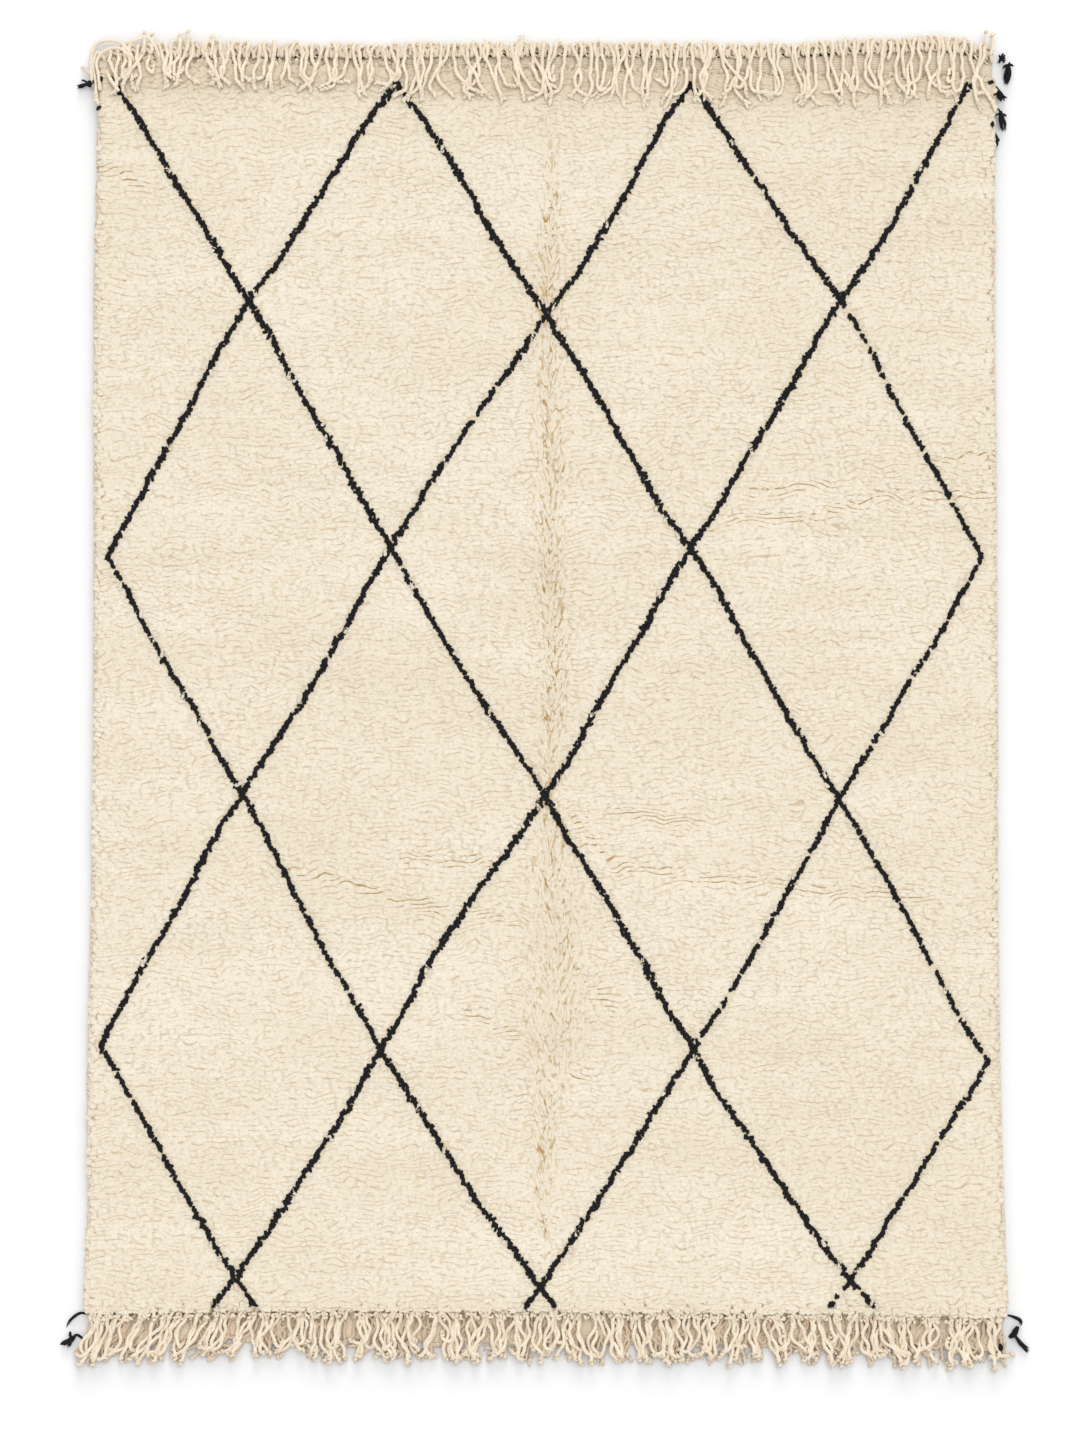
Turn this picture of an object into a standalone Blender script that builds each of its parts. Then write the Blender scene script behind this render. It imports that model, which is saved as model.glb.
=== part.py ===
"""A hand-knotted wool rug with a thick ivory pile, laid out flat.

The rug lies on the floor with its length along Y and its head end at +Y. Z is up, lengths are in metres,
and the origin is on the floor under the middle of the rug.

Pieces: the knotted pile and its flat-woven heading, which are one cloth; the warp fringe of each end,
bound in a narrow strip; and the yarn tassels that hang from the corners.
"""

import math
import random

import bmesh
import bpy
from mathutils import Vector, noise

# The cloth
PILE_START_Y = 1.175  # where the pile ends and the flat-woven heading begins
PILE_HEIGHT = 0.022  # from the floor to the top of the pile
RIM_HEIGHT = 0.012  # at a cut edge, where the tufts fall outward
HEADING_THICKNESS = 0.006
SHOULDER = 0.016  # width over which the pile rounds down to its rim
SEAT_GAP = 0.0004  # between two pieces that touch

SIDE_EDGES = (
    # along, left edge's distance from the middle line, right edge's
    (-1.155, 0.867, 0.868),
    (-0.943, 0.858, 0.859),
    (-0.715, 0.859, 0.853),
    (-0.375, 0.851, 0.848),
    (-0.035, 0.847, 0.848),
    (0.300, 0.846, 0.846),
    (0.760, 0.846, 0.842),
    (1.175, 0.838, 0.843),
)
FOOT_EDGE = (
    # share of the width from the left, along
    (0.00, -1.150),
    (0.18, -1.144),
    (0.50, -1.146),
    (0.83, -1.150),
    (1.00, -1.158),
)
HEAD_EDGE = (
    # share of the width from the left, along
    (0.00, 1.214),
    (0.05, 1.226),
    (0.11, 1.229),
    (0.30, 1.227),
    (0.50, 1.231),
    (0.68, 1.228),
    (0.78, 1.229),
    (0.86, 1.237),
    (0.93, 1.243),
    (0.97, 1.236),
    (1.00, 1.216),
)

# The grid that carries the pile's surface, and the locks that stand out at its side rims
COLUMNS_PER_HALF = 12
PILE_ROWS = 36
HEADING_ROW = 2.0  # rows run from 0 to 1 over the pile, and this one is the heading's own edge
LOCK_REACH = 0.005
LOCKED_RIM_Y = 1.0  # no locks nearer to the corners, where the tassels hang

# Uneven places in the pile
BROAD_LUMP, BROAD_LUMP_SPACING = 0.0018, 0.16
SMALL_LUMP, SMALL_LUMP_SPACING = 0.0012, 0.06
CREASE_DEPTH, CREASE_WIDTH, CREASE_FOOT_Y = 0.0030, 0.030, -0.95  # the fold line down the middle

# Warp fringe
STRANDS_PER_END = 84
END_INSET = 0.008  # from a strip's end to its first strand
STRIP_DEPTH, STRIP_HEIGHT = 0.007, 0.007
STRAND_WIDTH, STRAND_THICKNESS = 0.0085, 0.0060
KNOT_WIDTH, KNOT_THICKNESS = 0.0110, 0.0080
TIP_WIDTH, TIP_THICKNESS = 0.0055, 0.0040
FOOT_STRAND_LENGTH = 0.100
FOOT_FAN, FOOT_FAN_WIDTH = 0.030, 0.07  # how far the last strands spread past the right-hand corner
HEAD_STRAND_BACK = 0.110  # how far a strand folds back over the rug
CLEARANCE = 0.002  # between a strand and the pile under it

# Tassels: a bound head tied to the rug by a stem, with a skirt of yarn locks
TASSEL_HEAD_DEPTH, TASSEL_HEAD_HEIGHT = 0.008, 0.0075
LOCK_WIDTH, LOCK_GAP = 0.0024, 0.0008
SKIRT_WIDTH, SKIRT_THICKNESS = 0.0040, 0.0046  # one lock at the fullest part of the skirt
SKIRT_SPREAD = 1.55  # how much wider than the head the skirt is there
STEM_WIDTH, STEM_THICKNESS = 0.0034, 0.0036
STEM_LEAD = 0.003  # the straight end of a stem, square to the rug's edge
TASSELS = (
    # name, yarn, head across, along, skirt's heading in degrees, length, tip spread,
    # the stem's bend across, along, and where along the rug's edge it ends
    ("tassel_head_right_1", "black", 0.8545, 1.2115, 40, 0.018, 1.9, None, None, 1.209),
    ("tassel_head_right_2", "black", 0.8740, 1.1960, -93, 0.028, 1.4, None, None, 1.194),
    ("tassel_head_right_3", "black", 0.8560, 1.1560, -72, 0.024, 1.7, None, None, 1.157),
    ("tassel_head_right_4", "black", 0.8590, 1.1130, -80, 0.031, 1.4, None, None, 1.114),
    ("tassel_head_right_5", "black", 0.8535, 1.0700, -86, 0.020, 1.8, None, None, 1.070),
    ("tassel_head_left", "black", -0.8590, 1.1650, 196, 0.026, 1.4, None, None, 1.166),
    ("selvedge_end_left", "ecru", -0.8600, 1.1880, 150, 0.026, 2.2, None, None, 1.186),
    ("tassel_foot_left_1", "black", -0.9010, -1.1740, -112, 0.012, 1.4, -0.893, -1.150, -1.139),
    ("tassel_foot_left_2", "black", -0.8900, -1.1940, -118, 0.030, 2.6, -0.883, -1.166, -1.154),
    ("tassel_foot_right", "black", 0.8860, -1.1880, -56, 0.046, 1.7, 0.896, -1.164, -1.147),
)
LOCKS_PER_TASSEL = 3

YARNS = {
    # name: base colour, roughness
    "ivory": ((0.855, 0.780, 0.620), 0.95),
    "ecru": ((0.700, 0.570, 0.420), 0.90),
    "black": ((0.016, 0.015, 0.016), 0.90),
}
UP = Vector((0.0, 0.0, 1.0))
TOWARD_HEAD = Vector((0.0, 1.0, 0.0))


def read_table(rows, value, column):
    """That column's entry where the first column is value, on straight lines between the rows."""
    for low, high in zip(rows, rows[1:]):
        if value <= high[0] or high is rows[-1]:
            share = min(max((value - low[0]) / (high[0] - low[0]), 0.0), 1.0)
            return low[column] + share * (high[column] - low[column])


def clear_scene():
    for obj in list(bpy.data.objects):
        bpy.data.objects.remove(obj)


def yarn_material(name):
    colour, roughness = YARNS[name]
    material = bpy.data.materials.new(name + "_wool")
    material.use_nodes = True
    shader = material.node_tree.nodes["Principled BSDF"]
    shader.inputs["Base Color"].default_value = (*colour, 1.0)
    shader.inputs["Roughness"].default_value = roughness
    shader.inputs["Metallic"].default_value = 0.0
    return material


def add_object(name, bm, yarn, collection):
    mesh = bpy.data.meshes.new(name)
    bm.to_mesh(mesh)
    bm.free()
    mesh.materials.append(yarn_material(yarn))
    collection.objects.link(bpy.data.objects.new(name, mesh))


# ---------------------------------------------------------------------------
# The cloth
# ---------------------------------------------------------------------------


def column_shares():
    """Where the grid's columns stand, from 0 at the left edge to 1 at the right edge."""
    width = 2 * SIDE_EDGES[-1][1]
    shoulder = SHOULDER / width
    step = (0.5 - CREASE_WIDTH / width - shoulder) / (COLUMNS_PER_HALF - 1)
    half = [0.0, 0.3 * shoulder] + [shoulder + step * i for i in range(COLUMNS_PER_HALF)]
    return half + [0.5] + [1.0 - share for share in reversed(half)]


def row_shares():
    """Where the pile's rows stand, from 0 at the foot edge to 1 where the heading begins."""
    shoulder = SHOULDER / (2 * PILE_START_Y)
    step = (1.0 - 2 * shoulder) / PILE_ROWS
    inner = [shoulder + step * i for i in range(PILE_ROWS + 1)]
    return [0.0, 0.3 * shoulder] + inner + [1.0 - 0.3 * shoulder, 1.0]


def side_edge(y, side):
    """The rug's edge at y; side is -1 on the left and +1 on the right."""
    return side * read_table(SIDE_EDGES, y, 1 if side < 0 else 2)


def plan_point(column, row):
    """Where a grid point lies on the floor."""
    if row == HEADING_ROW:
        y = read_table(HEAD_EDGE, column, 1)
    else:
        foot = read_table(FOOT_EDGE, column, 1)
        y = foot + row * (PILE_START_Y - foot)
    left, right = side_edge(y, -1), side_edge(y, 1)
    return left + column * (right - left), y


def cloth_edge(row):
    """The cloth's edge along one end, as the straight lines between its grid points."""
    return [plan_point(column, row) for column in column_shares()]


def rounded(inside, low):
    """The pile's height at a distance inside an edge where it stands low: a quarter ellipse."""
    share = min(max(inside / SHOULDER, 0.0), 1.0)
    return low + (PILE_HEIGHT - low) * math.sqrt(1.0 - (1.0 - share) ** 2)


def lumps(x, y):
    """How far the pile's top stands above or below its mean height."""
    broad = noise.noise(Vector((x / BROAD_LUMP_SPACING, y / BROAD_LUMP_SPACING, 3.1)))
    small = noise.noise(Vector((x / SMALL_LUMP_SPACING, y / SMALL_LUMP_SPACING, 8.7)))
    fade = min(max((y - CREASE_FOOT_Y) / 0.2, 0.0), 1.0)
    crease = fade * math.exp(-((x / CREASE_WIDTH) ** 2))
    return BROAD_LUMP * broad + SMALL_LUMP * small - CREASE_DEPTH * crease


def surface_height(x, y):
    """The cloth's upper surface: pile that rounds down at its edges, or the flat heading."""
    left, right = side_edge(y, -1), side_edge(y, 1)
    column = (x - left) / (right - left)
    top = min(
        rounded(min(x - left, right - x), RIM_HEIGHT),
        rounded(y - read_table(FOOT_EDGE, column, 1), RIM_HEIGHT),
        rounded(PILE_START_Y - y, HEADING_THICKNESS),
    )
    fullness = (top - HEADING_THICKNESS) / (PILE_HEIGHT - HEADING_THICKNESS)
    return top + lumps(x, y) * fullness


def build_cloth(collection):
    """A flat grid in the rug's outline, raised to the pile's height, with locks along its side rims."""
    columns = column_shares()
    rows = row_shares() + [HEADING_ROW]
    bm = bmesh.new()
    bmesh.ops.create_grid(bm, x_segments=len(columns) - 1, y_segments=len(rows) - 1, size=0.5)
    for vert in bm.verts:
        column = columns[round((vert.co.x + 0.5) * (len(columns) - 1))]
        row = rows[round((vert.co.y + 0.5) * (len(rows) - 1))]
        vert.co = (*plan_point(column, row), 0.0)

    raised = bmesh.ops.extrude_face_region(bm, geom=list(bm.faces))["geom"]
    for vert in (item for item in raised if isinstance(item, bmesh.types.BMVert)):
        vert.co.z = surface_height(vert.co.x, vert.co.y)
    push_out_locks(bm)

    on_floor = [face for face in bm.faces if all(vert.co.z == 0.0 for vert in face.verts)]
    bmesh.ops.dissolve_faces(bm, faces=on_floor)
    bmesh.ops.recalc_face_normals(bm, faces=bm.faces)
    add_object("pile_field", bm, "ivory", collection)


def push_out_locks(bm):
    """Cuts the side rims half way between the rows and draws each new pair of points out as a lock."""
    spread = random.Random(5)
    for side in (-1, 1):
        rim = [edge for edge in bm.edges if is_locked_rim(edge, side)]
        cut = bmesh.ops.subdivide_edges(bm, edges=rim, cuts=1, use_grid_fill=True)["geom_inner"]
        reach = {}
        for vert in (item for item in cut if isinstance(item, bmesh.types.BMVert)):
            place = round(vert.co.y, 4)
            reach.setdefault(place, LOCK_REACH * spread.uniform(0.5, 1.0))
            vert.co.x += side * reach[place]


def is_locked_rim(edge, side):
    """True for an edge that runs along the rug's side wall, clear of the corners."""
    start, end = (vert.co for vert in edge.verts)
    on_wall = all(abs(co.x - side_edge(co.y, side)) < 1e-5 for co in (start, end))
    return on_wall and start.y != end.y and max(abs(start.y), abs(end.y)) < LOCKED_RIM_Y


# ---------------------------------------------------------------------------
# Fringe and tassels: a strip or a head whose front faces are drawn out into strands
# ---------------------------------------------------------------------------


def add_block(bm, outline, height):
    """A closed block that stands on a flat outline."""
    base = bm.faces.new([bm.verts.new((x, y, 0.0)) for x, y in outline])
    raised = bmesh.ops.extrude_face_region(bm, geom=[base])["geom"]
    points = [item for item in raised if isinstance(item, bmesh.types.BMVert)]
    bmesh.ops.translate(bm, vec=UP * height, verts=points)
    bmesh.ops.recalc_face_normals(bm, faces=bm.faces)


def face_toward(bm, direction, point):
    """Of the faces that look along a direction, the one whose middle is nearest to the point."""
    facing = [face for face in bm.faces if face.normal.dot(direction) > 0.7]
    return min(facing, key=lambda face: (face.calc_center_median() - point).length)


def draw_out(bm, face, path):
    """Draws a four-cornered face out along a path, whose stops are (point, width, thickness). Each
    section stands square to the path and keeps its width level."""
    side = face.normal.cross(UP)
    before = face.calc_center_median()
    corners = [
        (math.copysign(0.5, (vert.co - before).dot(side)), math.copysign(0.5, vert.co.z - before.z))
        for vert in face.verts
    ]
    for number, (point, width, thickness) in enumerate(path):
        after = path[min(number + 1, len(path) - 1)][0]
        ahead = (after - before).normalized()
        side -= ahead * side.dot(ahead)
        side.z = 0.0
        side.normalize()
        lift = side.cross(ahead).normalized()
        face = bmesh.ops.extrude_discrete_faces(bm, faces=[face])["faces"][0]
        for vert, (across, upward) in zip(face.verts, corners):
            vert.co = point + side * across * width + lift * upward * thickness
        before = point


def lean(x, phase):
    """How far to the side a strand rooted at x has drifted at its tip; too slow a wave for any two of
    them to cross."""
    return 0.0060 * math.sin(x / 0.0275 + phase) + 0.0015 * math.sin(x / 0.0113 + 2 * phase)


def foot_stops(number, x):
    """A strand that lies on the floor, with a knot near its frayed tip. Each stop of a strand is
    (outward, height, sideways, width, thickness) from the strand's root."""
    spread = random.Random(100 + number)
    length = FOOT_STRAND_LENGTH * spread.uniform(0.86, 1.0)
    corner = SIDE_EDGES[0][2]
    fan = min(max((x - corner + FOOT_FAN_WIDTH) / FOOT_FAN_WIDTH, 0.0), 1.0)
    tip = lean(x, 0.7) + FOOT_FAN * fan ** 2
    wave = 0.0016 * spread.choice((-1, 1))
    on_floor = 0.5 * STRAND_THICKNESS
    return [
        (0.28 * length, on_floor, 0.08 * tip + wave, STRAND_WIDTH, STRAND_THICKNESS),
        (0.60 * length, on_floor, 0.36 * tip - wave, STRAND_WIDTH, STRAND_THICKNESS),
        (0.80 * length, on_floor, 0.64 * tip, STRAND_WIDTH, STRAND_THICKNESS),
        (0.88 * length, 0.5 * KNOT_THICKNESS, 0.77 * tip, KNOT_WIDTH, KNOT_THICKNESS),
        (length, 0.5 * TIP_THICKNESS, tip, TIP_WIDTH, TIP_THICKNESS),
    ]


def head_stops(number, x):
    """A strand that turns up off the floor, folds back over the heading and lies on the pile."""
    spread = random.Random(300 + number)
    back = HEAD_STRAND_BACK * spread.uniform(0.86, 1.0)
    turn = spread.uniform(0.010, 0.015)
    tip = lean(x, 2.9)
    on_heading = HEADING_THICKNESS + STRAND_THICKNESS
    on_pile = PILE_HEIGHT + BROAD_LUMP + SMALL_LUMP + CLEARANCE + 0.5 * STRAND_THICKNESS
    knot_rise = 0.5 * (KNOT_THICKNESS - STRAND_THICKNESS)
    pile_front = STRIP_DEPTH + HEAD_EDGE[0][1] - PILE_START_Y
    return [
        (0.75 * turn, 0.0055, 0.0, STRAND_WIDTH, STRAND_THICKNESS),
        (turn, 0.0125, 0.0, STRAND_WIDTH, STRAND_THICKNESS),
        (0.35 * turn, 0.0185, 0.0, STRAND_WIDTH, STRAND_THICKNESS),
        (-0.5 * pile_front, on_heading, 0.06 * tip, STRAND_WIDTH, STRAND_THICKNESS),
        (-pile_front, on_pile, 0.30 * tip, STRAND_WIDTH, STRAND_THICKNESS),
        (-0.82 * back, on_pile, 0.67 * tip, STRAND_WIDTH, STRAND_THICKNESS),
        (-0.90 * back, on_pile + knot_rise, 0.81 * tip, KNOT_WIDTH, KNOT_THICKNESS),
        (-back, on_pile, tip, TIP_WIDTH, TIP_THICKNESS),
    ]


def build_fringe(name, edge, out, stops_of, collection):
    """A strip along one end of the cloth, with every strand drawn out of a front face of its own."""
    near, far = SEAT_GAP * out.y, (SEAT_GAP + STRIP_DEPTH) * out.y
    first, last = edge[0][0] + END_INSET, edge[-1][0] - END_INSET
    roots = [first + (last - first) * number / (STRANDS_PER_END - 1) for number in range(STRANDS_PER_END)]
    half = 0.5 * STRAND_WIDTH
    front = [edge[0][0], *(x + shift for x in roots for shift in (-half, half)), edge[-1][0]]
    outline = [(x, read_table(edge, x, 1) + far) for x in front]
    outline += [(x, y + near) for x, y in reversed(edge)]

    bm = bmesh.new()
    add_block(bm, outline, STRIP_HEIGHT)
    right = Vector((1.0, 0.0, 0.0))
    for number, x in enumerate(roots):
        root = Vector((x, read_table(edge, x, 1) + far, 0.0))
        face = face_toward(bm, out, root + UP * 0.5 * STRIP_HEIGHT)
        path = [
            (root + out * outward + UP * height + right * sideways, width, thickness)
            for outward, height, sideways, width, thickness in stops_of(number, x)
        ]
        draw_out(bm, face, path)
    add_object(name, bm, "ecru", collection)


def build_tassel(name, yarn, x, y, heading, length, tip_spread, bend_x, bend_y, wall_y, collection):
    """A bound head that lies beside the rug, with its stem on one face and its skirt on the front."""
    out = Vector((math.cos(math.radians(heading)), math.sin(math.radians(heading)), 0.0))
    across = out.cross(UP)
    head = Vector((x, y, 0.0))
    pitch = LOCK_WIDTH + LOCK_GAP
    offsets = [pitch * (number - 0.5 * (LOCKS_PER_TASSEL - 1)) for number in range(LOCKS_PER_TASSEL)]
    half = offsets[-1] + 0.5 * LOCK_WIDTH + LOCK_GAP
    half_lock = 0.5 * LOCK_WIDTH
    front = [-half, *(offset + shift for offset in offsets for shift in (-half_lock, half_lock)), half]
    corners = [head + out * 0.5 * TASSEL_HEAD_DEPTH + across * place for place in front]
    corners += [head - out * 0.5 * TASSEL_HEAD_DEPTH + across * place for place in (0.8 * half, -0.8 * half)]

    bm = bmesh.new()
    add_block(bm, [corner.xy for corner in corners], TASSEL_HEAD_HEIGHT)
    draw_stem(bm, head, bend_x, bend_y, wall_y)
    for number, offset in enumerate(offsets):
        root = head + out * 0.5 * TASSEL_HEAD_DEPTH + across * offset
        face = face_toward(bm, out, root + UP * 0.5 * TASSEL_HEAD_HEIGHT)
        reach = length * (1.0 if number == 1 else 0.88)
        fullest = root + out * 0.5 * reach + across * (SKIRT_SPREAD - 1.0) * offset
        tip = root + out * reach + across * (tip_spread - 1.0) * offset
        draw_out(bm, face, [
            (fullest + UP * 0.5 * SKIRT_THICKNESS, SKIRT_WIDTH, SKIRT_THICKNESS),
            (tip + UP * 0.25 * SKIRT_THICKNESS, 0.5 * SKIRT_WIDTH, 0.5 * SKIRT_THICKNESS),
        ])
    add_object(name, bm, yarn, collection)


def draw_stem(bm, head, bend_x, bend_y, wall_y):
    """The yarn that ties a tassel to the rug. It ends square to the rug's side edge, just clear of it."""
    side = math.copysign(1.0, head.x)
    wall = Vector((side_edge(wall_y, side), wall_y, 0.5 * STEM_THICKNESS))
    outward = Vector((side, 0.0, 0.0))
    points = [wall + outward * STEM_LEAD, wall + outward * SEAT_GAP]
    if bend_x is not None:
        points.insert(0, Vector((bend_x, bend_y, 0.5 * STEM_THICKNESS)))
    middle = head + UP * 0.5 * TASSEL_HEAD_HEIGHT
    toward = Vector((points[0].x - head.x, points[0].y - head.y, 0.0)).normalized()
    draw_out(bm, face_toward(bm, toward, middle), [(p, STEM_WIDTH, STEM_THICKNESS) for p in points])


clear_scene()
rug = bpy.data.collections.new("beni_ourain_rug")
bpy.context.scene.collection.children.link(rug)
build_cloth(rug)
build_fringe("foot_fringe", cloth_edge(0.0), -TOWARD_HEAD, foot_stops, rug)
build_fringe("head_fringe", cloth_edge(HEADING_ROW), TOWARD_HEAD, head_stops, rug)
for tassel in TASSELS:
    build_tassel(*tassel, rug)
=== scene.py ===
"""A hand-knotted Beni Ourain rug, laid flat: ivory wool pile with a lattice of black lozenges, cord
fringes at both ends and black yarn tassels at the corners. Lengths are in metres."""

import math

import bpy
import numpy as np
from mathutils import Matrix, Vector


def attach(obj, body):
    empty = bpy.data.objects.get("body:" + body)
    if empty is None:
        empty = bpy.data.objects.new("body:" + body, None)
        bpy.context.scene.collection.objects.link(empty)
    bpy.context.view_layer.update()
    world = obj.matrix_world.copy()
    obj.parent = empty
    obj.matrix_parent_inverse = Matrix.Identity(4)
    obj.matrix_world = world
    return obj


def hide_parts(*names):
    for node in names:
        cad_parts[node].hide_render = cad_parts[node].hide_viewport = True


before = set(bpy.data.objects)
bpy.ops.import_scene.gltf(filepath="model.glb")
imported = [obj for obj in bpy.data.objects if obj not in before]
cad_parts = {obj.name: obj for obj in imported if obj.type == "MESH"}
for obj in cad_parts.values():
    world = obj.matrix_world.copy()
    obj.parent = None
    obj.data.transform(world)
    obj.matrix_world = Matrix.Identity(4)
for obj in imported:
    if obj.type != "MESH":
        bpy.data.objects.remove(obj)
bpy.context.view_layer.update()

# ----------------------------------------------------------
# Ground cloth. The rug is built on a wool cloth: weft beaten down hard over doubled warps. It carries
# the pile, and is bare underneath, over the last few centimetres at the head end, the heading, and
# over a narrow strip at the foot.

# The rug's outline, charted from the photograph. Sides are by distance along, ends by share across.
SIDE_ALONG = (-1.155, -0.943, -0.715, -0.375, -0.035, 0.300, 0.760, 1.175)
SIDE_LEFT = (-0.867, -0.858, -0.859, -0.851, -0.847, -0.846, -0.846, -0.838)
SIDE_RIGHT = (0.868, 0.859, 0.853, 0.848, 0.848, 0.846, 0.842, 0.843)
FOOT_SHARE = (0.00, 0.18, 0.50, 0.83, 1.00)
FOOT_ALONG = (-1.150, -1.144, -1.146, -1.150, -1.158)
HEAD_SHARE = (0.00, 0.05, 0.11, 0.30, 0.50, 0.68, 0.78, 0.86, 0.93, 0.97, 1.00)
HEAD_ALONG = (1.216, 1.231, 1.236, 1.234, 1.238, 1.235, 1.236, 1.244, 1.249, 1.241, 1.219)
START_SHARE = (0.00, 0.25, 0.50, 0.75, 1.00)
START_ALONG = (1.206, 1.198, 1.189, 1.180, 1.172)  # where the pile ends and the heading begins
GROUND_BOTTOM = 0.0008  # the backs of the knots stand this far below the cloth, on the floor
GROUND_TOP = 0.0045
HEADING_TOP = 0.0060
FOOT_STRIP = 0.010  # bare cloth past the pile at the foot
SLACK = 0.0004  # the woven cloth is this uneven
WEFT_SPACING = 0.0045  # the real wefts are 2 mm apart, too fine to show, so they are drawn coarser
BAND_PERIOD = 0.314  # a wave texture's bands are this far apart at a scale of 1: 2 pi / 20


def linear(hex_colour):
    """An sRGB hex colour as linear RGBA: each channel c becomes ((c + 0.055) / 1.055) ** 2.4."""
    channels = [int(hex_colour[i : i + 2], 16) / 255 for i in (1, 3, 5)]
    return (*(c / 12.92 if c <= 0.04045 else ((c + 0.055) / 1.055) ** 2.4 for c in channels), 1.0)


def link(tree, source, node, name):
    """Feeds an input from an output, or from a node's first output in use."""
    if isinstance(source, bpy.types.Node):
        source = next(output for output in source.outputs if output.enabled)
    tree.links.new(source, node.inputs[name])


def add_node(tree, kind, settings=None, **links):
    """Adds a shader node. Settings go to its own properties or to its inputs, by name or number, and
    stops to its colour ramp, as (position, hex colour). Each link is an input's name, with _ for a
    space, or _ and its number, and the output or the node that feeds it."""
    node = tree.nodes.new("ShaderNode" + kind)
    for key, value in (settings or {}).items():
        if key == "stops":
            ramp = node.color_ramp.elements
            for position, _ in value[2:]:
                ramp.new(position)
            for element, (position, colour) in zip(ramp, value):
                element.position, element.color = position, linear(colour)
        elif isinstance(key, str) and hasattr(node, key):
            setattr(node, key, value)
        else:
            node.inputs[key].default_value = value
    for key, source in links.items():
        link(tree, source, node, int(key[1:]) if key[1:].isdigit() else key.replace("_", " "))
    return node


def wool(name, roughness=0.95, sheen=0.15):
    """An empty wool material: a rough Principled surface with a little sheen from loose fibre. Returns
    it with its tree and shader, and the place in metres that patterns go by, so that a noise has as
    many lumps a metre as its scale."""
    material = bpy.data.materials.new(name)
    material.use_nodes = True
    tree = material.node_tree
    shader = tree.nodes["Principled BSDF"]
    shader.inputs["Roughness"].default_value = roughness
    shader.inputs["Specular IOR Level"].default_value = 0.15
    shader.inputs["Sheen Weight"].default_value = sheen
    shader.inputs["Sheen Roughness"].default_value = 0.6
    return material, tree, shader, add_node(tree, "TexCoord").outputs["Object"]


def add_piece(name, points, faces, material, slot, *nodes, smooth=True, **fields):
    """A mesh from arrays, standing for some of the CAD nodes. Faces is a list of arrays, each of faces
    with one number of corners, and each field is a value for every point."""
    mesh = bpy.data.meshes.new(name)
    corners = np.concatenate([group.ravel() for group in faces]).astype(np.int32)
    sizes = np.concatenate([np.full(len(group), group.shape[1]) for group in faces])
    starts = np.concatenate([[0], np.cumsum(sizes)[:-1]]).astype(np.int32)
    mesh.vertices.add(len(points))
    mesh.loops.add(len(corners))
    mesh.polygons.add(len(sizes))
    mesh.vertices.foreach_set("co", points.astype(np.float32).ravel())
    mesh.loops.foreach_set("vertex_index", corners)
    mesh.polygons.foreach_set("loop_start", starts)
    mesh.update(calc_edges=True)
    if smooth:
        mesh.shade_smooth()
    else:
        mesh.shade_flat()
    for field, values in fields.items():
        mesh.attributes.new(field, "FLOAT", "POINT").data.foreach_set("value", values.astype(np.float32))
    mesh.materials.append(material)
    piece = bpy.data.objects.new(name, mesh)
    bpy.context.scene.collection.objects.link(piece)
    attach(piece, "root")
    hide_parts(*nodes)
    return piece


def edge_left(y):
    return np.interp(y, SIDE_ALONG, SIDE_LEFT)


def edge_right(y):
    return np.interp(y, SIDE_ALONG, SIDE_RIGHT)


def edge_foot(share):
    return np.interp(share, FOOT_SHARE, FOOT_ALONG)


def edge_head(share):
    return np.interp(share, HEAD_SHARE, HEAD_ALONG)


def pile_start(share):
    return np.interp(share, START_SHARE, START_ALONG)


def share_across(x, y):
    """How far across the rug each point is, from 0 at its left edge to 1 at its right."""
    return (x - edge_left(y)) / (edge_right(y) - edge_left(y))


def place_across(share, y):
    """Where on the x axis a share of the way across the rug is."""
    return edge_left(y) + share * (edge_right(y) - edge_left(y))


def xyz(x, y, z=0.0):
    """Points or directions from their coordinates, any of which may be one number for all."""
    return np.stack(np.broadcast_arrays(x, y, z), axis=-1)


def soft_noise(x, y, spacing, seed):
    """Uneven values from -1 to 1: random numbers on a square grid of that spacing, with each cell
    filled in by the smooth step 3t^2 - 2t^3 between its corners."""
    table = np.random.default_rng(seed).uniform(-1.0, 1.0, (512, 512))
    u, v = np.asarray(x) / spacing + 200.0, np.asarray(y) / spacing + 200.0
    i, j = np.floor(u).astype(int), np.floor(v).astype(int)
    s, t = u - i, v - j
    s, t = s * s * (3 - 2 * s), t * t * (3 - 2 * t)
    i, j, next_i, next_j = i % 512, j % 512, (i + 1) % 512, (j + 1) % 512
    low = table[i, j] * (1 - s) + table[next_i, j] * s
    high = table[i, next_j] * (1 - s) + table[next_i, next_j] * s
    return low * (1 - t) + high * t


def slab(x, y, top, bottom):
    """A closed slab: a grid of points at its top, walls around its rim, and one flat face under it.
    The three grids are rows along the rug by columns across it."""
    rows, columns = x.shape
    index = np.arange(rows * columns).reshape(rows, columns)
    quads = np.stack([index[:-1, :-1], index[:-1, 1:], index[1:, 1:], index[1:, :-1]], axis=-1)
    rim = np.concatenate([index[0, :-1], index[:-1, -1], index[-1, :0:-1], index[:0:-1, 0]])
    under = rows * columns + np.arange(len(rim))
    walls = np.stack([rim, under, np.roll(under, -1), np.roll(rim, -1)], axis=-1)
    upper = xyz(x, y, top).reshape(-1, 3)
    lower = upper[rim].copy()
    lower[:, 2] = bottom
    return np.concatenate([upper, lower]), [quads.reshape(-1, 4), walls, under[::-1][None]]


def on_heading(x, y):
    """Whether each point is past the end of the pile at the head end, by more than half a millimetre."""
    return y > pile_start(share_across(x, y)) + 0.0005


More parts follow.
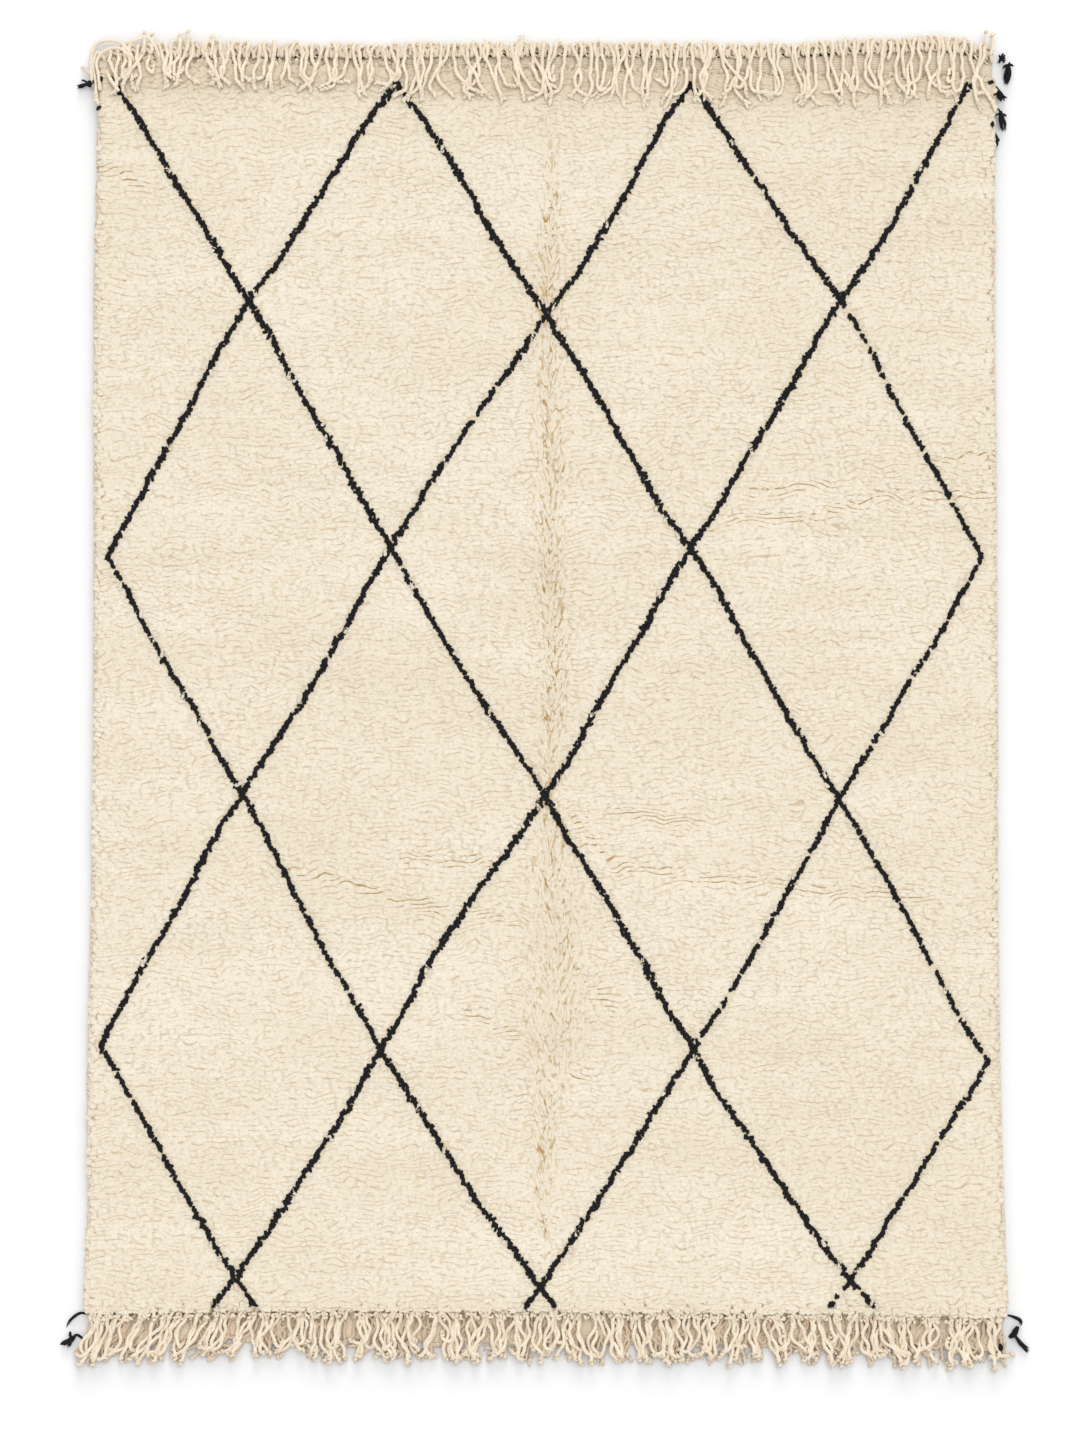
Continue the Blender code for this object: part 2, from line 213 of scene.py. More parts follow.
def rug_plan(columns, pile_rows, heading_rows=1, strip=0.0):
    """The rug's plan as a grid: the strip at its foot and the pile, and the heading if it has rows."""
    share = np.linspace(0.0, 1.0, columns)[None]
    pile = np.linspace(0.0, 1.0, pile_rows)[:, None]
    heading = np.linspace(0.0, 1.0, heading_rows)[1:, None]
    foot, start, head = edge_foot(share) - strip, pile_start(share), edge_head(share)
    y = np.concatenate([foot + pile * (start - foot), start + heading * (head - start)])
    return place_across(share, y), y


def ground_material(name, band_stops):
    """Undyed wool weft, beaten flat: close ribs across the rug, with no gloss. The bare bands at the ends,
    which the value heading marks, were handled and washed and have tones of their own; the thin woven
    end at the foot is coloured partly as painted shade, the warm shade between the cords over it."""
    material, tree, shader, place = wool(name, sheen=0.1)
    ribs = add_node(tree, "TexWave", {
        "bands_direction": "Y", "Scale": BAND_PERIOD / WEFT_SPACING, "Distortion": 1.5, "Detail": 2.0,
        "Detail Scale": 40.0,
    }, Vector=place)
    mottle = add_node(tree, "TexNoise", {"Scale": 160.0, "Detail": 3.0}, Vector=place)  # 6 mm
    weave = add_node(tree, "Math", {"operation": "MULTIPLY"}, _0=ribs.outputs["Fac"], _1=mottle)
    back = add_node(tree, "ValToRGB", {"stops": ((0.0, "#D3C4A6"), (0.7, "#EFE5CF"))}, Fac=weave)
    band = add_node(tree, "ValToRGB", {"stops": band_stops}, Fac=weave)
    heading = add_node(tree, "Attribute", {"attribute_name": "heading"}).outputs["Fac"]
    colour = add_node(tree, "Mix", {"data_type": "RGBA"}, _0=heading, _6=back, _7=band)
    bump = add_node(tree, "Bump", {"Strength": 0.6, "Distance": 0.002}, Height=weave)
    link(tree, colour, shader, "Base Color")
    link(tree, bump, shader, "Normal")
    return material


ground_x, ground_y = rug_plan(61, 82, 13, FOOT_STRIP)
ground_z = np.where(on_heading(ground_x, ground_y), HEADING_TOP, GROUND_TOP)
ground_z = ground_z + SLACK * soft_noise(ground_x, ground_y, 0.02, 11)
ground_points, ground_faces = slab(ground_x, ground_y, ground_z, GROUND_BOTTOM)
ground_wool = ground_material("ground_weave_wool", ((0.0, "#DDCDB1"), (0.7, "#F5EAD7")))
ground = add_piece(
    "ground_cloth", ground_points, ground_faces, ground_wool, "warp_yarn", "pile_field",
    heading=on_heading(*ground_points.T[:2]),
)

# ----------------------------------------------------------
# Pile bed. The lower half of every knot stands packed between its neighbours and reads as one thick
# mat, lumpy from the uneven yarn, with a fold line down the middle and a few creases across.

BED_BOTTOM = GROUND_TOP + 0.0005
BED_TOP = 0.0195
SHOULDER = 0.010  # width over which the bed rounds down to its rim
RIM_TOP = 0.0155
FOLD_DEPTH, CREASE_DEPTH = 0.0010, 0.0006  # how far the pile sinks along them
FOLD_LINE = (
    # along, across, width to either side, strength: the fold down the middle
    (1.16, 0.004, 0.012, 0.2), (0.93, 0.006, 0.022, 0.9), (0.66, 0.006, 0.026, 1.0),
    (0.28, 0.010, 0.028, 1.0), (0.00, 0.015, 0.026, 0.9), (-0.18, 0.000, 0.024, 0.8),
    (-0.38, 0.022, 0.050, 0.7), (-0.60, 0.020, 0.070, 0.6), (-0.74, 0.002, 0.028, 0.7),
    (-0.98, -0.004, 0.015, 0.8), (-1.10, -0.004, 0.013, 0.0),
)
FOLD_MIDDLE, FOLD_TURN = 0.008, 0.012  # where it runs on average; how far from it the pile turns
CREASES = (
    # start across, along; end across, along: where the folded rug was pressed
    (0.305, 0.335, 0.490, 0.359), (0.490, 0.359, 0.655, 0.396), (0.655, 0.396, 0.830, 0.396),
    (0.388, 0.400, 0.532, 0.421), (0.717, 0.452, 0.840, 0.472), (0.038, -0.196, 0.120, -0.299),
    (0.120, -0.299, 0.244, -0.329), (0.244, -0.329, 0.717, -0.364), (0.120, -0.206, 0.285, -0.220),
    (-0.476, -0.309, -0.209, -0.381), (-0.209, -0.381, -0.065, -0.411), (-0.270, -0.288, -0.106, -0.299),
    (-0.147, -0.586, -0.003, -0.648), (-0.003, -0.648, 0.079, -0.710), (0.038, -0.463, 0.120, -0.566),
    (-0.836, 1.007, -0.764, 0.987),
)
CREASE_WIDTH = 0.011


def distance_to_stroke(x, y, stroke):
    """How far each point is from the straight stroke (x0, y0, x1, y1)."""
    x0, y0, x1, y1 = stroke
    run, rise = x1 - x0, y1 - y0
    share = np.clip(((x - x0) * run + (y - y0) * rise) / (run * run + rise * rise), 0.0, 1.0)
    return np.hypot(x - x0 - share * run, y - y0 - share * rise)


def fold_course(y):
    """How far across the fold line runs at each distance along."""
    along, across, _, _ = np.array(FOLD_LINE[::-1]).T
    return np.interp(y, along, across) + 0.006 * soft_noise(0.0, y, 0.05, 21)


def fold_strength(x, y):
    """From 0 to 1: how close a point is to the wandering fold line down the middle."""
    along, _, width, strength = np.array(FOLD_LINE[::-1]).T
    aside = (x - fold_course(y)) / np.interp(y, along, width)
    return np.interp(y, along, strength) * np.exp(-(aside**2))


def crease_strength(x, y):
    """From 0 to 1: how close a point is to one of the creases, each a little wavy."""
    wavy = y + 0.010 * soft_noise(x, y, 0.045, 22)
    return np.max([np.exp(-((distance_to_stroke(x, wavy, c) / CREASE_WIDTH) ** 2)) for c in CREASES], axis=0)


def pile_lift(x, y):
    """How far the pile stands above or below its mean height."""
    lumps = 0.0016 * soft_noise(x, y, 0.16, 23) + 0.0006 * soft_noise(x, y, 0.05, 24)
    return lumps - FOLD_DEPTH * fold_strength(x, y) - CREASE_DEPTH * crease_strength(x, y)


def inside_edge(x, y):
    """How far each point is inside the pile's nearest edge."""
    share = share_across(x, y)
    ends = np.minimum(y - edge_foot(share), pile_start(share) - y)
    return np.minimum(np.minimum(x - edge_left(y), edge_right(y) - x), ends)


def fibre_bump(tree, shader, place, scale, strength):
    """A fine uneven relief, as loose fibres give a yarn, 2 to 3 mm across."""
    fibre = add_node(tree, "TexNoise", {"Scale": scale, "Detail": 2.0}, Vector=place)
    bump = add_node(tree, "Bump", {"Strength": strength, "Distance": 0.001}, Height=fibre)
    link(tree, bump, shader, "Normal")


def bed_material():
    """The same ivory wool as the pile's tips, darker by painted shade, since light reaches it only through
    them, and tan with painted shade along the fold, where the pile opens."""
    material, tree, shader, place = wool("ivory_wool_bed")
    mottle = add_node(tree, "TexNoise", {"Scale": 190.0, "Detail": 2.0}, Vector=place)  # 5 mm
    # painted shade: the bed is drawn darker than the tips, and tan along the fold
    closed = add_node(tree, "ValToRGB", {"stops": ((0.3, "#D6C7A8"), (0.7, "#E0D3BA"))}, Fac=mottle)
    folded = add_node(tree, "Attribute", {"attribute_name": "folded"}).outputs["Fac"]
    colour = add_node(tree, "Mix", {"data_type": "RGBA", 7: linear("#BFA272")}, _0=folded, _6=closed)
    link(tree, colour, shader, "Base Color")
    fibre_bump(tree, shader, place, 300.0, 0.5)
    return material


bed_x, bed_y = rug_plan(97, 133)
bed_inside = np.clip(inside_edge(bed_x, bed_y) / SHOULDER, 0.0, 1.0)
bed_z = RIM_TOP + (BED_TOP - RIM_TOP) * np.sqrt(1.0 - (1.0 - bed_inside) ** 2)
bed_z = bed_z + bed_inside * pile_lift(bed_x, bed_y)
bed_points, bed_faces = slab(bed_x, bed_y, bed_z, BED_BOTTOM)
bed = add_piece(
    "pile_bed", bed_points, bed_faces, bed_material(), "ivory_wool", "pile_field",
    folded=fold_strength(*bed_points.T[:2]),
)

# ----------------------------------------------------------
# Black lozenge lines. The lattice is knotted into the pile with black wool, one or two knots wide. The
# weaver counted it by eye, so each line strays, thickens and thins, and here and there ivory shows.

CORNERS = {
    # the lattice's corners and crossings, row by row from the head end
    "a": ((-0.815, 1.175), (-0.281, 1.165), (0.275, 1.163), (0.799, 1.165)),
    "b": ((-0.559, 0.755), (0.001, 0.729), (0.557, 0.757)),
    "c": ((-0.824, 0.275), (-0.292, 0.292), (0.273, 0.288), (0.823, 0.271)),
    "d": ((-0.572, -0.173), (-0.001, -0.177), (0.553, -0.182)),
    "e": ((-0.838, -0.647), (-0.311, -0.655), (0.279, -0.653), (0.835, -0.679)),
    "f": ((-0.585, -1.086), (-0.010, -1.105), (0.574, -1.091)),
}
LINES = (
    # from corner, to corner, how far right of straight in mm at each sixth of the way, fullness
    ("a1", "b1", (1, -1, -1, 0, -2), 1.0),
    ("a2", "b1", (-6, -3, 0, 2, 6), 1.1),
    ("a2", "b2", (5, 8, 4, -4, -2), 1.1),
    ("a3", "b2", (-6, 0, 9, 8, 11), 1.1),
    ("a3", "b3", (1, -5, -3, -8, -4), 1.1),
    ("a4", "b3", (2, 6, 8, 12, 9), 1.0),
    ("b1", "c1", (-3, -2, 0, 0, 0), 1.0),
    ("b1", "c2", (1, -4, 0, 0, -2), 1.1),
    ("b2", "c2", (3, -2, -4, -8, -1), 1.0),
    ("b2", "c3", (2, 0, -2, -4, -8), 1.1),
    ("b3", "c3", (-2, 4, 4, 3, 5), 1.1),
    ("b3", "c4", (4, -2, -3, -1, 1), 0.65),
    ("c1", "d1", (-2, -6, -5, 0, -2), 0.8),
    ("c2", "d1", (1, 7, 11, 9, 4), 1.0),
    ("c2", "d2", (-7, -8, -9, -8, -2), 0.9),
    ("c3", "d2", (-3, 2, -2, 1, 6), 1.1),
    ("c3", "d3", (5, -1, -2, -2, -6), 1.0),
    ("c4", "d3", (2, 8, 1, 5, 3), 0.8),
    ("d1", "e1", (-4, -1, 0, -4, -1), 1.0),
    ("d1", "e2", (2, -2, -4, -6, 0), 0.9),
    ("d2", "e2", (1, -8, -12, -14, -3), 1.1),
    ("d2", "e3", (-5, 2, 0, 1, -8), 1.2),
    ("d3", "e3", (6, 6, 7, 9, 9), 0.85),
    ("d3", "e4", (2, 3, 0, -4, -7), 0.65),
    ("e1", "f1", (-1, 0, -4, -3, -3), 0.85),
    ("e2", "f1", (7, 9, 8, 5, 5), 1.1),
    ("e2", "f2", (-2, -5, -8, -9, -2), 1.1),
    ("e3", "f2", (3, 4, 4, 3, 3), 1.0),
    ("e3", "f3", (-13, -9, -9, -9, -5), 1.1),
    ("e4", "f3", (2, 0, 3, 0, 3), 0.85),
)
LINE_TAILS = (
    # from crossing, to across and along on the foot edge, fullness
    ("f1", -0.627, -1.141, 0.85), ("f1", -0.547, -1.140, 0.65), ("f2", -0.040, -1.143, 0.70),
    ("f2", 0.020, -1.142, 0.65), ("f3", 0.535, -1.141, 0.70), ("f3", 0.619, -1.141, 0.65),
)
BLACK_SPACING = 0.0020  # between knots along a line, counting both its rows
BLACK_SPREAD = 0.0039  # of knots to either side of the line
BLACK_TOP = 0.0216
BLACK_STOPS = (
    # of a knot's end: how far along its lean, height as a share of the top, radius
    (-0.50, 0.97, 0.0031),
    (0.25, 1.00, 0.0035),
    (0.60, 0.97, 0.0),
)
WHOLE_END = 0.012  # no knot is missed this near to the end of a line
EDGE_KNOTS = (
    # across and along of the few black knots at the selvedges
    (0.839, 1.166), (0.842, 1.087), (-0.842, 1.118), (-0.837, 1.172),
)


def line_courses():
    """Every line of the lattice as (x0, y0, x1, y1, shares of the way, metres right of straight there,
    fullness). The tails that run off at the foot are straight."""
    courses = []
    for start, end, strays, fullness in LINES:
        first, last = (CORNERS[name[0]][int(name[1]) - 1] for name in (start, end))
        courses.append((*first, *last, np.linspace(0, 1, 7), 0.001 * np.array([0, *strays, 0]), fullness))
    for start, x, y, fullness in LINE_TAILS:
        first = CORNERS[start[0]][int(start[1]) - 1]
        courses.append((*first, x, y, np.array([0.0, 1.0]), np.zeros(2), fullness))
    return courses


def distance_to_lattice(x, y):
    """How far each point is from the nearest black line, measured square to its straight course."""
    nearest = np.full(x.shape, 1.0)
    for x0, y0, x1, y1, shares, strays, _ in line_courses():
        length = math.hypot(x1 - x0, y1 - y0)
        share = ((x - x0) * (x1 - x0) + (y - y0) * (y1 - y0)) / length**2
        stray = np.interp(share, shares, strays)
        aside = np.abs((x - x0 - stray) * (y1 - y0) - (y - y0) * (x1 - x0)) / length
        beyond = np.maximum(0.0, np.abs(share - 0.5) - 0.5) * length
        nearest = np.minimum(nearest, np.hypot(aside, beyond))
    return nearest


def strand_mesh(paths, radii, sides, flatness=1.0):
    """Closed tubes along many paths at once. Paths are (strands, stops, 3) and radii (strands, stops)
    or (strands, stops, sides). Every stop but the last has a ring of points square to the path, its
    height scaled by flatness; one face closes the first ring, and the last stop is the tip."""
    count, stops = radii.shape[:2]
    ahead = np.gradient(paths, axis=1)
    side = np.cross([0.0, 0.0, 1.0], ahead)
    side /= np.linalg.norm(side, axis=2, keepdims=True)
    lift = np.cross(ahead, side)
    lift = flatness * lift / np.linalg.norm(lift, axis=2, keepdims=True)
    angle = (2 * math.pi * np.arange(sides) / sides + 0.5 * math.pi)[:, None]
    spokes = np.cos(angle) * side[:, :-1, None] + np.sin(angle) * lift[:, :-1, None]
    rings = paths[:, :-1, None] + radii.reshape(count, stops, -1, 1)[:, :-1] * spokes
    points = np.concatenate([rings.reshape(count, -1, 3), paths[:, -1:]], axis=1)

    here = np.arange(sides)
    beside = (here + 1) % sides
    ring = sides * np.arange(stops - 2)[:, None]
    walls = np.stack([ring + here, ring + beside, ring + sides + beside, ring + sides + here], axis=-1)
    last = sides * (stops - 2)
    tip = np.stack([last + here, last + beside, np.full(sides, points.shape[1] - 1)], axis=-1)
    shift = points.shape[1] * np.arange(count)[:, None, None]
    faces = [(shift + group[None]).reshape(-1, group.shape[-1])
             for group in (walls.reshape(-1, 4), tip, here[::-1][None])]
    return points.reshape(-1, 3), faces


def lay_angle(x, y):
    """Which way the pile lies: toward the foot, swung about by handling, and drawn in toward the fold
    line from both sides."""
    folded = fold_strength(x, y)
    swing = 0.42 * soft_noise(x, y, 0.085, 31) + 0.38 * soft_noise(x, y, 0.022, 32)
    inward = 0.40 * fold_strength(0.6 * x, y) * np.tanh((x - FOLD_MIDDLE) / FOLD_TURN)
    return -0.5 * math.pi + (1.0 - 0.6 * folded) * swing - inward


def black_wool_material():
    """Natural black wool: nearly neutral, a touch lighter where loose fibre catches the light."""
    material, tree, shader, place = wool("black_wool_pile", roughness=0.9, sheen=0.05)
    mottle = add_node(tree, "TexNoise", {"Scale": 260.0, "Detail": 2.0}, Vector=place)  # 4 mm
    colour = add_node(tree, "ValToRGB", {"stops": ((0.35, "#0D0D0F"), (0.7, "#212023"))}, Fac=mottle)
    link(tree, colour, shader, "Base Color")
    fibre_bump(tree, shader, place, 420.0, 0.5)
    return material


def black_knots():
    """Roots of the black knots: even steps along every line, spread to either side of it by an amount
    that swells and shrinks, with a knot missed here and there on the thin lines."""
    chance = np.random.default_rng(41)
    roots = []
    for number, (x0, y0, x1, y1, shares, strays, fullness) in enumerate(line_courses()):
        length = math.hypot(x1 - x0, y1 - y0)
        count = int(length / BLACK_SPACING)
        share = (np.arange(count) + chance.uniform(-0.5, 0.5, count)) / count
        along = share * length
        stray = np.interp(share, shares, strays) + 0.0022 * soft_noise(along, 0.0, 0.012, 50 + number)
        swell = fullness * (0.92 + 0.50 * soft_noise(along, 0.0, 0.016, 70 + number))
        aside = BLACK_SPREAD * swell * chance.uniform(-1.0, 1.0, count)
        x = x0 + share * (x1 - x0) + stray + aside * (y0 - y1) / length
        y = y0 + share * (y1 - y0) + aside * (x1 - x0) / length
        kept = soft_noise(along, 0.0, 0.0055, 110 + number) < 1.2 * fullness - 0.40
        kept = kept | (np.minimum(along, length - along) < WHOLE_END)
        roots.append(np.stack([x, y], axis=1)[kept])
    return np.concatenate([*roots, np.repeat(EDGE_KNOTS, 3, axis=0)])


black_wool = black_wool_material()
chance = np.random.default_rng(42)
black_x, black_y = black_knots().T
black_count = len(black_x)
black_angle = lay_angle(black_x, black_y) + chance.normal(0.0, 0.75, black_count)
black_ahead = xyz(np.cos(black_angle), np.sin(black_angle))
black_reach = chance.uniform(0.005, 0.0120, black_count)
black_top = BLACK_TOP + pile_lift(black_x, black_y) + chance.uniform(-0.0006, 0.0008, black_count)
black_paths = np.stack([
    xyz(black_x, black_y, height * black_top) + (forward * black_reach)[:, None] * black_ahead
    for forward, height, _ in BLACK_STOPS
], axis=1)
black_radii = np.array([radius for _, _, radius in BLACK_STOPS]) * chance.uniform(0.8, 1.2, (black_count, 1))
black_lines = add_piece(
    "black_lozenge_lines", *strand_mesh(black_paths, black_radii, 3, 0.4), black_wool, "black_wool",
    "pile_field", smooth=False,
)

# ----------------------------------------------------------
# Ivory tufts. Each knot's cut end is a soft twist of hand-spun wool that bends over and lies on its
# neighbours, tip toward the foot. Knots are tied in rows across the rug, so the tips end in rows.

ROW_SPACING = 0.0100
KNOT_SPACING = 0.0082
TUFT_WIDTH = 0.0150
TUFT_REACH = 0.0145
TUFT_RISE = 0.0005  # from where a tuft shows to its highest point
TUFT_TOP = 0.0203
TUFT_FLATNESS = 0.035
TUFT_POINTS = 7  # of each tuft's mesh: two rings of three, and its tip
TUFT_TAPER = np.array([0.9, 0.95, 0.0])
TUFT_FRONT = 0.82  # share of its reach at which a tuft's front ring stands
# how little painted shade, in tan, each point of a tuft takes, from its root ring to its tip: in the
# open pile where it is palest, what the painted shade of a tip takes off, and in the streaks of the
# fold and the creases
OPEN_DEPTH = np.array([0.95, 0.85, 0.85, 1.0, 0.95, 0.95, 0.8])
TIP_SHADE = np.array([0.0, 0.0, 0.0, 0.0, 0.10, 0.10, 0.35])
STREAK_DEPTH = np.array([0.9, 0.8, 0.8, 1.0, 0.85, 0.85, 0.5])
STREAKS_A_METRE = (115.0, 20.0, 1.0)  # the fold's partings are 9 mm apart and 50 mm long
PARTING_LEAN = 0.22  # how far the partings of the fold lean in toward its middle, as a slope
SWATHS = 4  # the tufts are kept in this many pieces, from the foot to the head
RIM_STEP = 0.9 * KNOT_SPACING  # between the rim's tufts
RIM_LENGTH = 1.73  # of the rim at each end
RIM_REACH, RIM_WIDTH = 0.0115, 0.0120  # of a rim tuft
LOCK_SHARE = 0.6  # of the upper tufts at the foot are twisted into locks
RIM_ROWS = (
    # root height, how little a tuft leans out, how far inside the edge it stands
    (0.005, 0.35, 0.004), (0.0095, 0.65, 0.004), (0.0145, 0.85, 0.005), (0.0165, 0.90, 0.010),
)
CORD_SHADE = 0.055  # how far onto the pile the head cords shade it
RUB_AND_SHADE_START, RUB_AND_SHADE_WIDTH, RUB_AND_SHADE = 0.004, 0.011, 0.30  # how far from a line the pile greys, partly from black fibre worn off and partly painted shade, and how much
LINE_CLEAR = 0.0071  # an ivory tuft's middle is seldom nearer to a black line than this
CROSSING_SHARE = 0.03  # of those that would be are kept, and lie over the black
CROSSING_RISE = 0.0024  # how much higher these lie than the rest


def ivory_material():
    """Undyed ivory wool, hand-spun and cut: matt and creamy, with each yarn a little lighter or darker
    than the next, and greyed near the black lines, partly by black fibre worn off onto it and partly by
    painted shade. Shade is painted in tan in the partings, thin broken lines: between the wavy rows of
    tufts in the open pile, and down the rug in the fold, wherever a stretched noise passes through its
    middle value."""
    material, tree, shader, place = wool("ivory_wool_pile")
    tone, depth, rubbed, folded, opened, lean = (
        add_node(tree, "Attribute", {"attribute_name": name}).outputs["Fac"]
        for name in ("tone", "depth", "rubbed", "folded", "opened", "lean")
    )
    yarns = add_node(tree, "TexNoise", {"Scale": 230.0, "Detail": 1.0}, Vector=place)  # 4 mm, a yarn
    grain = add_node(tree, "Math", {"operation": "MULTIPLY_ADD", 1: 1.3}, _0=yarns, _2=tone)
    tip_stops = ((0.0, "#D9CEB9"), (0.5, "#E1D7C3"), (1.0, "#E9E1D1"))
    tips = add_node(tree, "ValToRGB", {"stops": tip_stops}, Fac=grain)
    # painted shade: the tan that the partings and the darker roots and tips of the tufts are drawn in
    roots = add_node(tree, "ValToRGB", {"stops": ((0.0, "#A9854E"), (1.0, "#C2A470"))}, Fac=tone)

    # painted shadow lines: between the wavy rows of tufts in the open pile, and, below, down the fold
    rows = add_node(tree, "TexWave", {
        "bands_direction": "Y", "Scale": BAND_PERIOD / ROW_SPACING, "Distortion": 15.0, "Detail": 1.0,
        "Detail Scale": 0.55,
    }, Vector=place)
    row_stops = ((0.02, "#FFFFFF"), (0.18, "#000000"))
    between_rows = add_node(tree, "ValToRGB", {"stops": row_stops}, Fac=rows.outputs["Fac"])
    along = add_node(tree, "SeparateXYZ", Vector=place).outputs["Y"]
    leaning = add_node(tree, "CombineXYZ", X=lean, Y=along)
    grid = add_node(tree, "VectorMath", {"operation": "MULTIPLY", 1: STREAKS_A_METRE}, _0=leaning)
    streaks = add_node(tree, "TexNoise", {"Scale": 1.0, "Detail": 0.0, "Distortion": 0.35}, Vector=grid)
    streak_stops = ((0.465, "#000000"), (0.495, "#FFFFFF"), (0.505, "#FFFFFF"), (0.535, "#000000"))
    down_fold = add_node(tree, "ValToRGB", {"stops": streak_stops}, Fac=streaks)
    in_fold = add_node(tree, "ValToRGB", {"stops": ((0.12, "#000000"), (0.35, "#FFFFFF"))}, Fac=folded)
    parting = add_node(tree, "Mix", {"data_type": "RGBA"}, _0=in_fold, _6=between_rows, _7=down_fold)

    breaks = add_node(tree, "TexNoise", {"Scale": 60.0, "Detail": 1.0}, Vector=place)  # 17 mm
    joining = add_node(tree, "Math", {"operation": "MULTIPLY_ADD", 1: 0.10}, _0=opened, _2=breaks)
    unbroken = add_node(tree, "ValToRGB", {"stops": ((0.44, "#000000"), (0.58, "#FFFFFF"))}, Fac=joining)
    seen = add_node(tree, "Math", {"operation": "MULTIPLY"}, _0=parting, _1=unbroken)
    opening = add_node(tree, "Math", {"operation": "MULTIPLY_ADD", 1: 0.65, 2: 0.42}, _0=opened)
    tan = add_node(tree, "Math", {"operation": "MULTIPLY"}, _0=seen, _1=opening)
    pale = add_node(tree, "Math", {"operation": "SUBTRACT", "use_clamp": True}, _0=depth, _1=tan)
    wool_colour = add_node(tree, "Mix", {"data_type": "RGBA"}, _0=pale, _6=roots, _7=tips)
    # greyed near the black lines: partly black fibre worn off, partly painted shade
    rub_and_shade = {"data_type": "RGBA", 7: linear("#A79F92")}
    colour = add_node(tree, "Mix", rub_and_shade, _0=rubbed, _6=wool_colour)
    link(tree, colour, shader, "Base Color")
    fibre_bump(tree, shader, place, 420.0, 0.2)
    return material


def field_tufts(chance):
    """The tufts of the open pile: roots on slightly wavy rows of knots. Returns (x, y, root height, top
    height, angle, reach, width, flatness), each with a value for every tuft."""
    columns = int((SIDE_RIGHT[0] - SIDE_LEFT[0]) / KNOT_SPACING)
    rows = int((START_ALONG[2] - FOOT_ALONG[2]) / ROW_SPACING)
    offset = 0.25 + 0.5 * (np.arange(rows)[:, None] % 2)
    share = (np.arange(columns) + offset + chance.uniform(-0.38, 0.38, (rows, columns))) / columns
    along = (np.arange(rows)[:, None] + 0.6 + chance.uniform(-0.2, 0.2, (rows, columns))) / rows
    foot = edge_foot(share)
    y = (foot + along * (pile_start(share) - foot)).ravel()
    x = place_across(np.clip(share.ravel(), 0.001, 0.999), y)
    y = y + 0.0030 * soft_noise(x, y, 0.05, 62)
    y = y + chance.uniform(-0.005, 0.004, len(x)) * (pile_start(share_across(x, y)) - y < 0.012)
    inside = np.maximum(inside_edge(x, y), 0.0005)
    low = np.clip(inside / SHOULDER, 0.0, 1.0)
    rounding = (TUFT_TOP - RIM_TOP - 0.0006) * (1.0 - np.sqrt(1.0 - (1.0 - low) ** 2))
    top = TUFT_TOP + pile_lift(x, y) - rounding + chance.uniform(-0.00015, 0.00015, len(x))
    folded = fold_strength(x, y)
    angle = lay_angle(x, y) + (1.0 - 0.5 * folded) * chance.normal(0.0, 0.33, len(x))
    reach = TUFT_REACH * chance.uniform(0.85, 1.15, len(x)) * (1.0 + 0.5 * folded)
    width = TUFT_WIDTH * chance.uniform(0.8, 1.15, len(x)) * (1.0 - 0.5 * folded)
    flatness = TUFT_FLATNESS + 0.22 * folded
    to_foot = y - edge_foot(share_across(x, y)) + chance.uniform(0.002, 0.008, len(x))
    to_side = np.minimum(x - edge_left(y), edge_right(y) - x) + 0.004
    longest = np.minimum(to_foot, to_side / np.maximum(np.abs(np.cos(angle)), 0.2))
    return x, y, top - TUFT_RISE, top, angle, np.minimum(reach, longest), width, flatness


def rim_tufts(chance):
    """The tufts that hang out over the pile's four edges, in rows up its rim, as field_tufts gives them.
    At the foot some are long and twisted into locks, and at the head some stray over the heading."""
    parts = []
    for height, out, inset in RIM_ROWS:
        for side in (-1, 1):
            y = np.arange(-1.14, START_ALONG[0] if side < 0 else START_ALONG[-1], RIM_STEP)
            edge = edge_left(y) if side < 0 else edge_right(y)
            parts.append((edge - side * inset, y, height, out, 0.0 if side > 0 else math.pi))
        share = np.arange(0.004, 0.996, RIM_STEP / RIM_LENGTH)
        for y, turn in ((edge_foot(share) + inset, -0.5), (pile_start(share) - inset, 0.5)):
            parts.append((place_across(share, y), y, height, out, turn * math.pi))
    x, y, root, out, angle = (
        np.concatenate([np.broadcast_to(part[i], part[0].shape) for part in parts]) for i in range(5)
    )
    x = x + chance.uniform(-0.003, 0.003, len(x)) * (np.abs(angle) == 0.5 * math.pi)
    y = y + chance.uniform(-0.004, 0.003, len(x))
    top = np.maximum(root + chance.uniform(-0.001, 0.004, len(x)), 0.0035)
    lock = (angle < -1.0) & (root > 0.012) & (chance.uniform(0.0, 1.0, len(x)) < LOCK_SHARE)
    straying = np.isclose(angle, 0.5 * math.pi) * (root > 0.008)
    reach = RIM_REACH * chance.uniform(0.8, 1.1, len(x)) * (1.15 - out * 0.4)
    reach = reach + lock * chance.uniform(0.002, 0.013, len(x))
    reach = reach + straying * np.maximum(chance.uniform(-0.006, 0.012, len(x)), 0.0)
    width = RIM_WIDTH * chance.uniform(0.8, 1.2, len(x)) * (1.0 - 0.4 * lock - 0.3 * straying)
    return x, y, root, top, angle + chance.normal(0.0, 0.4, len(x)), reach, width, 0.16 + 0.2 * lock


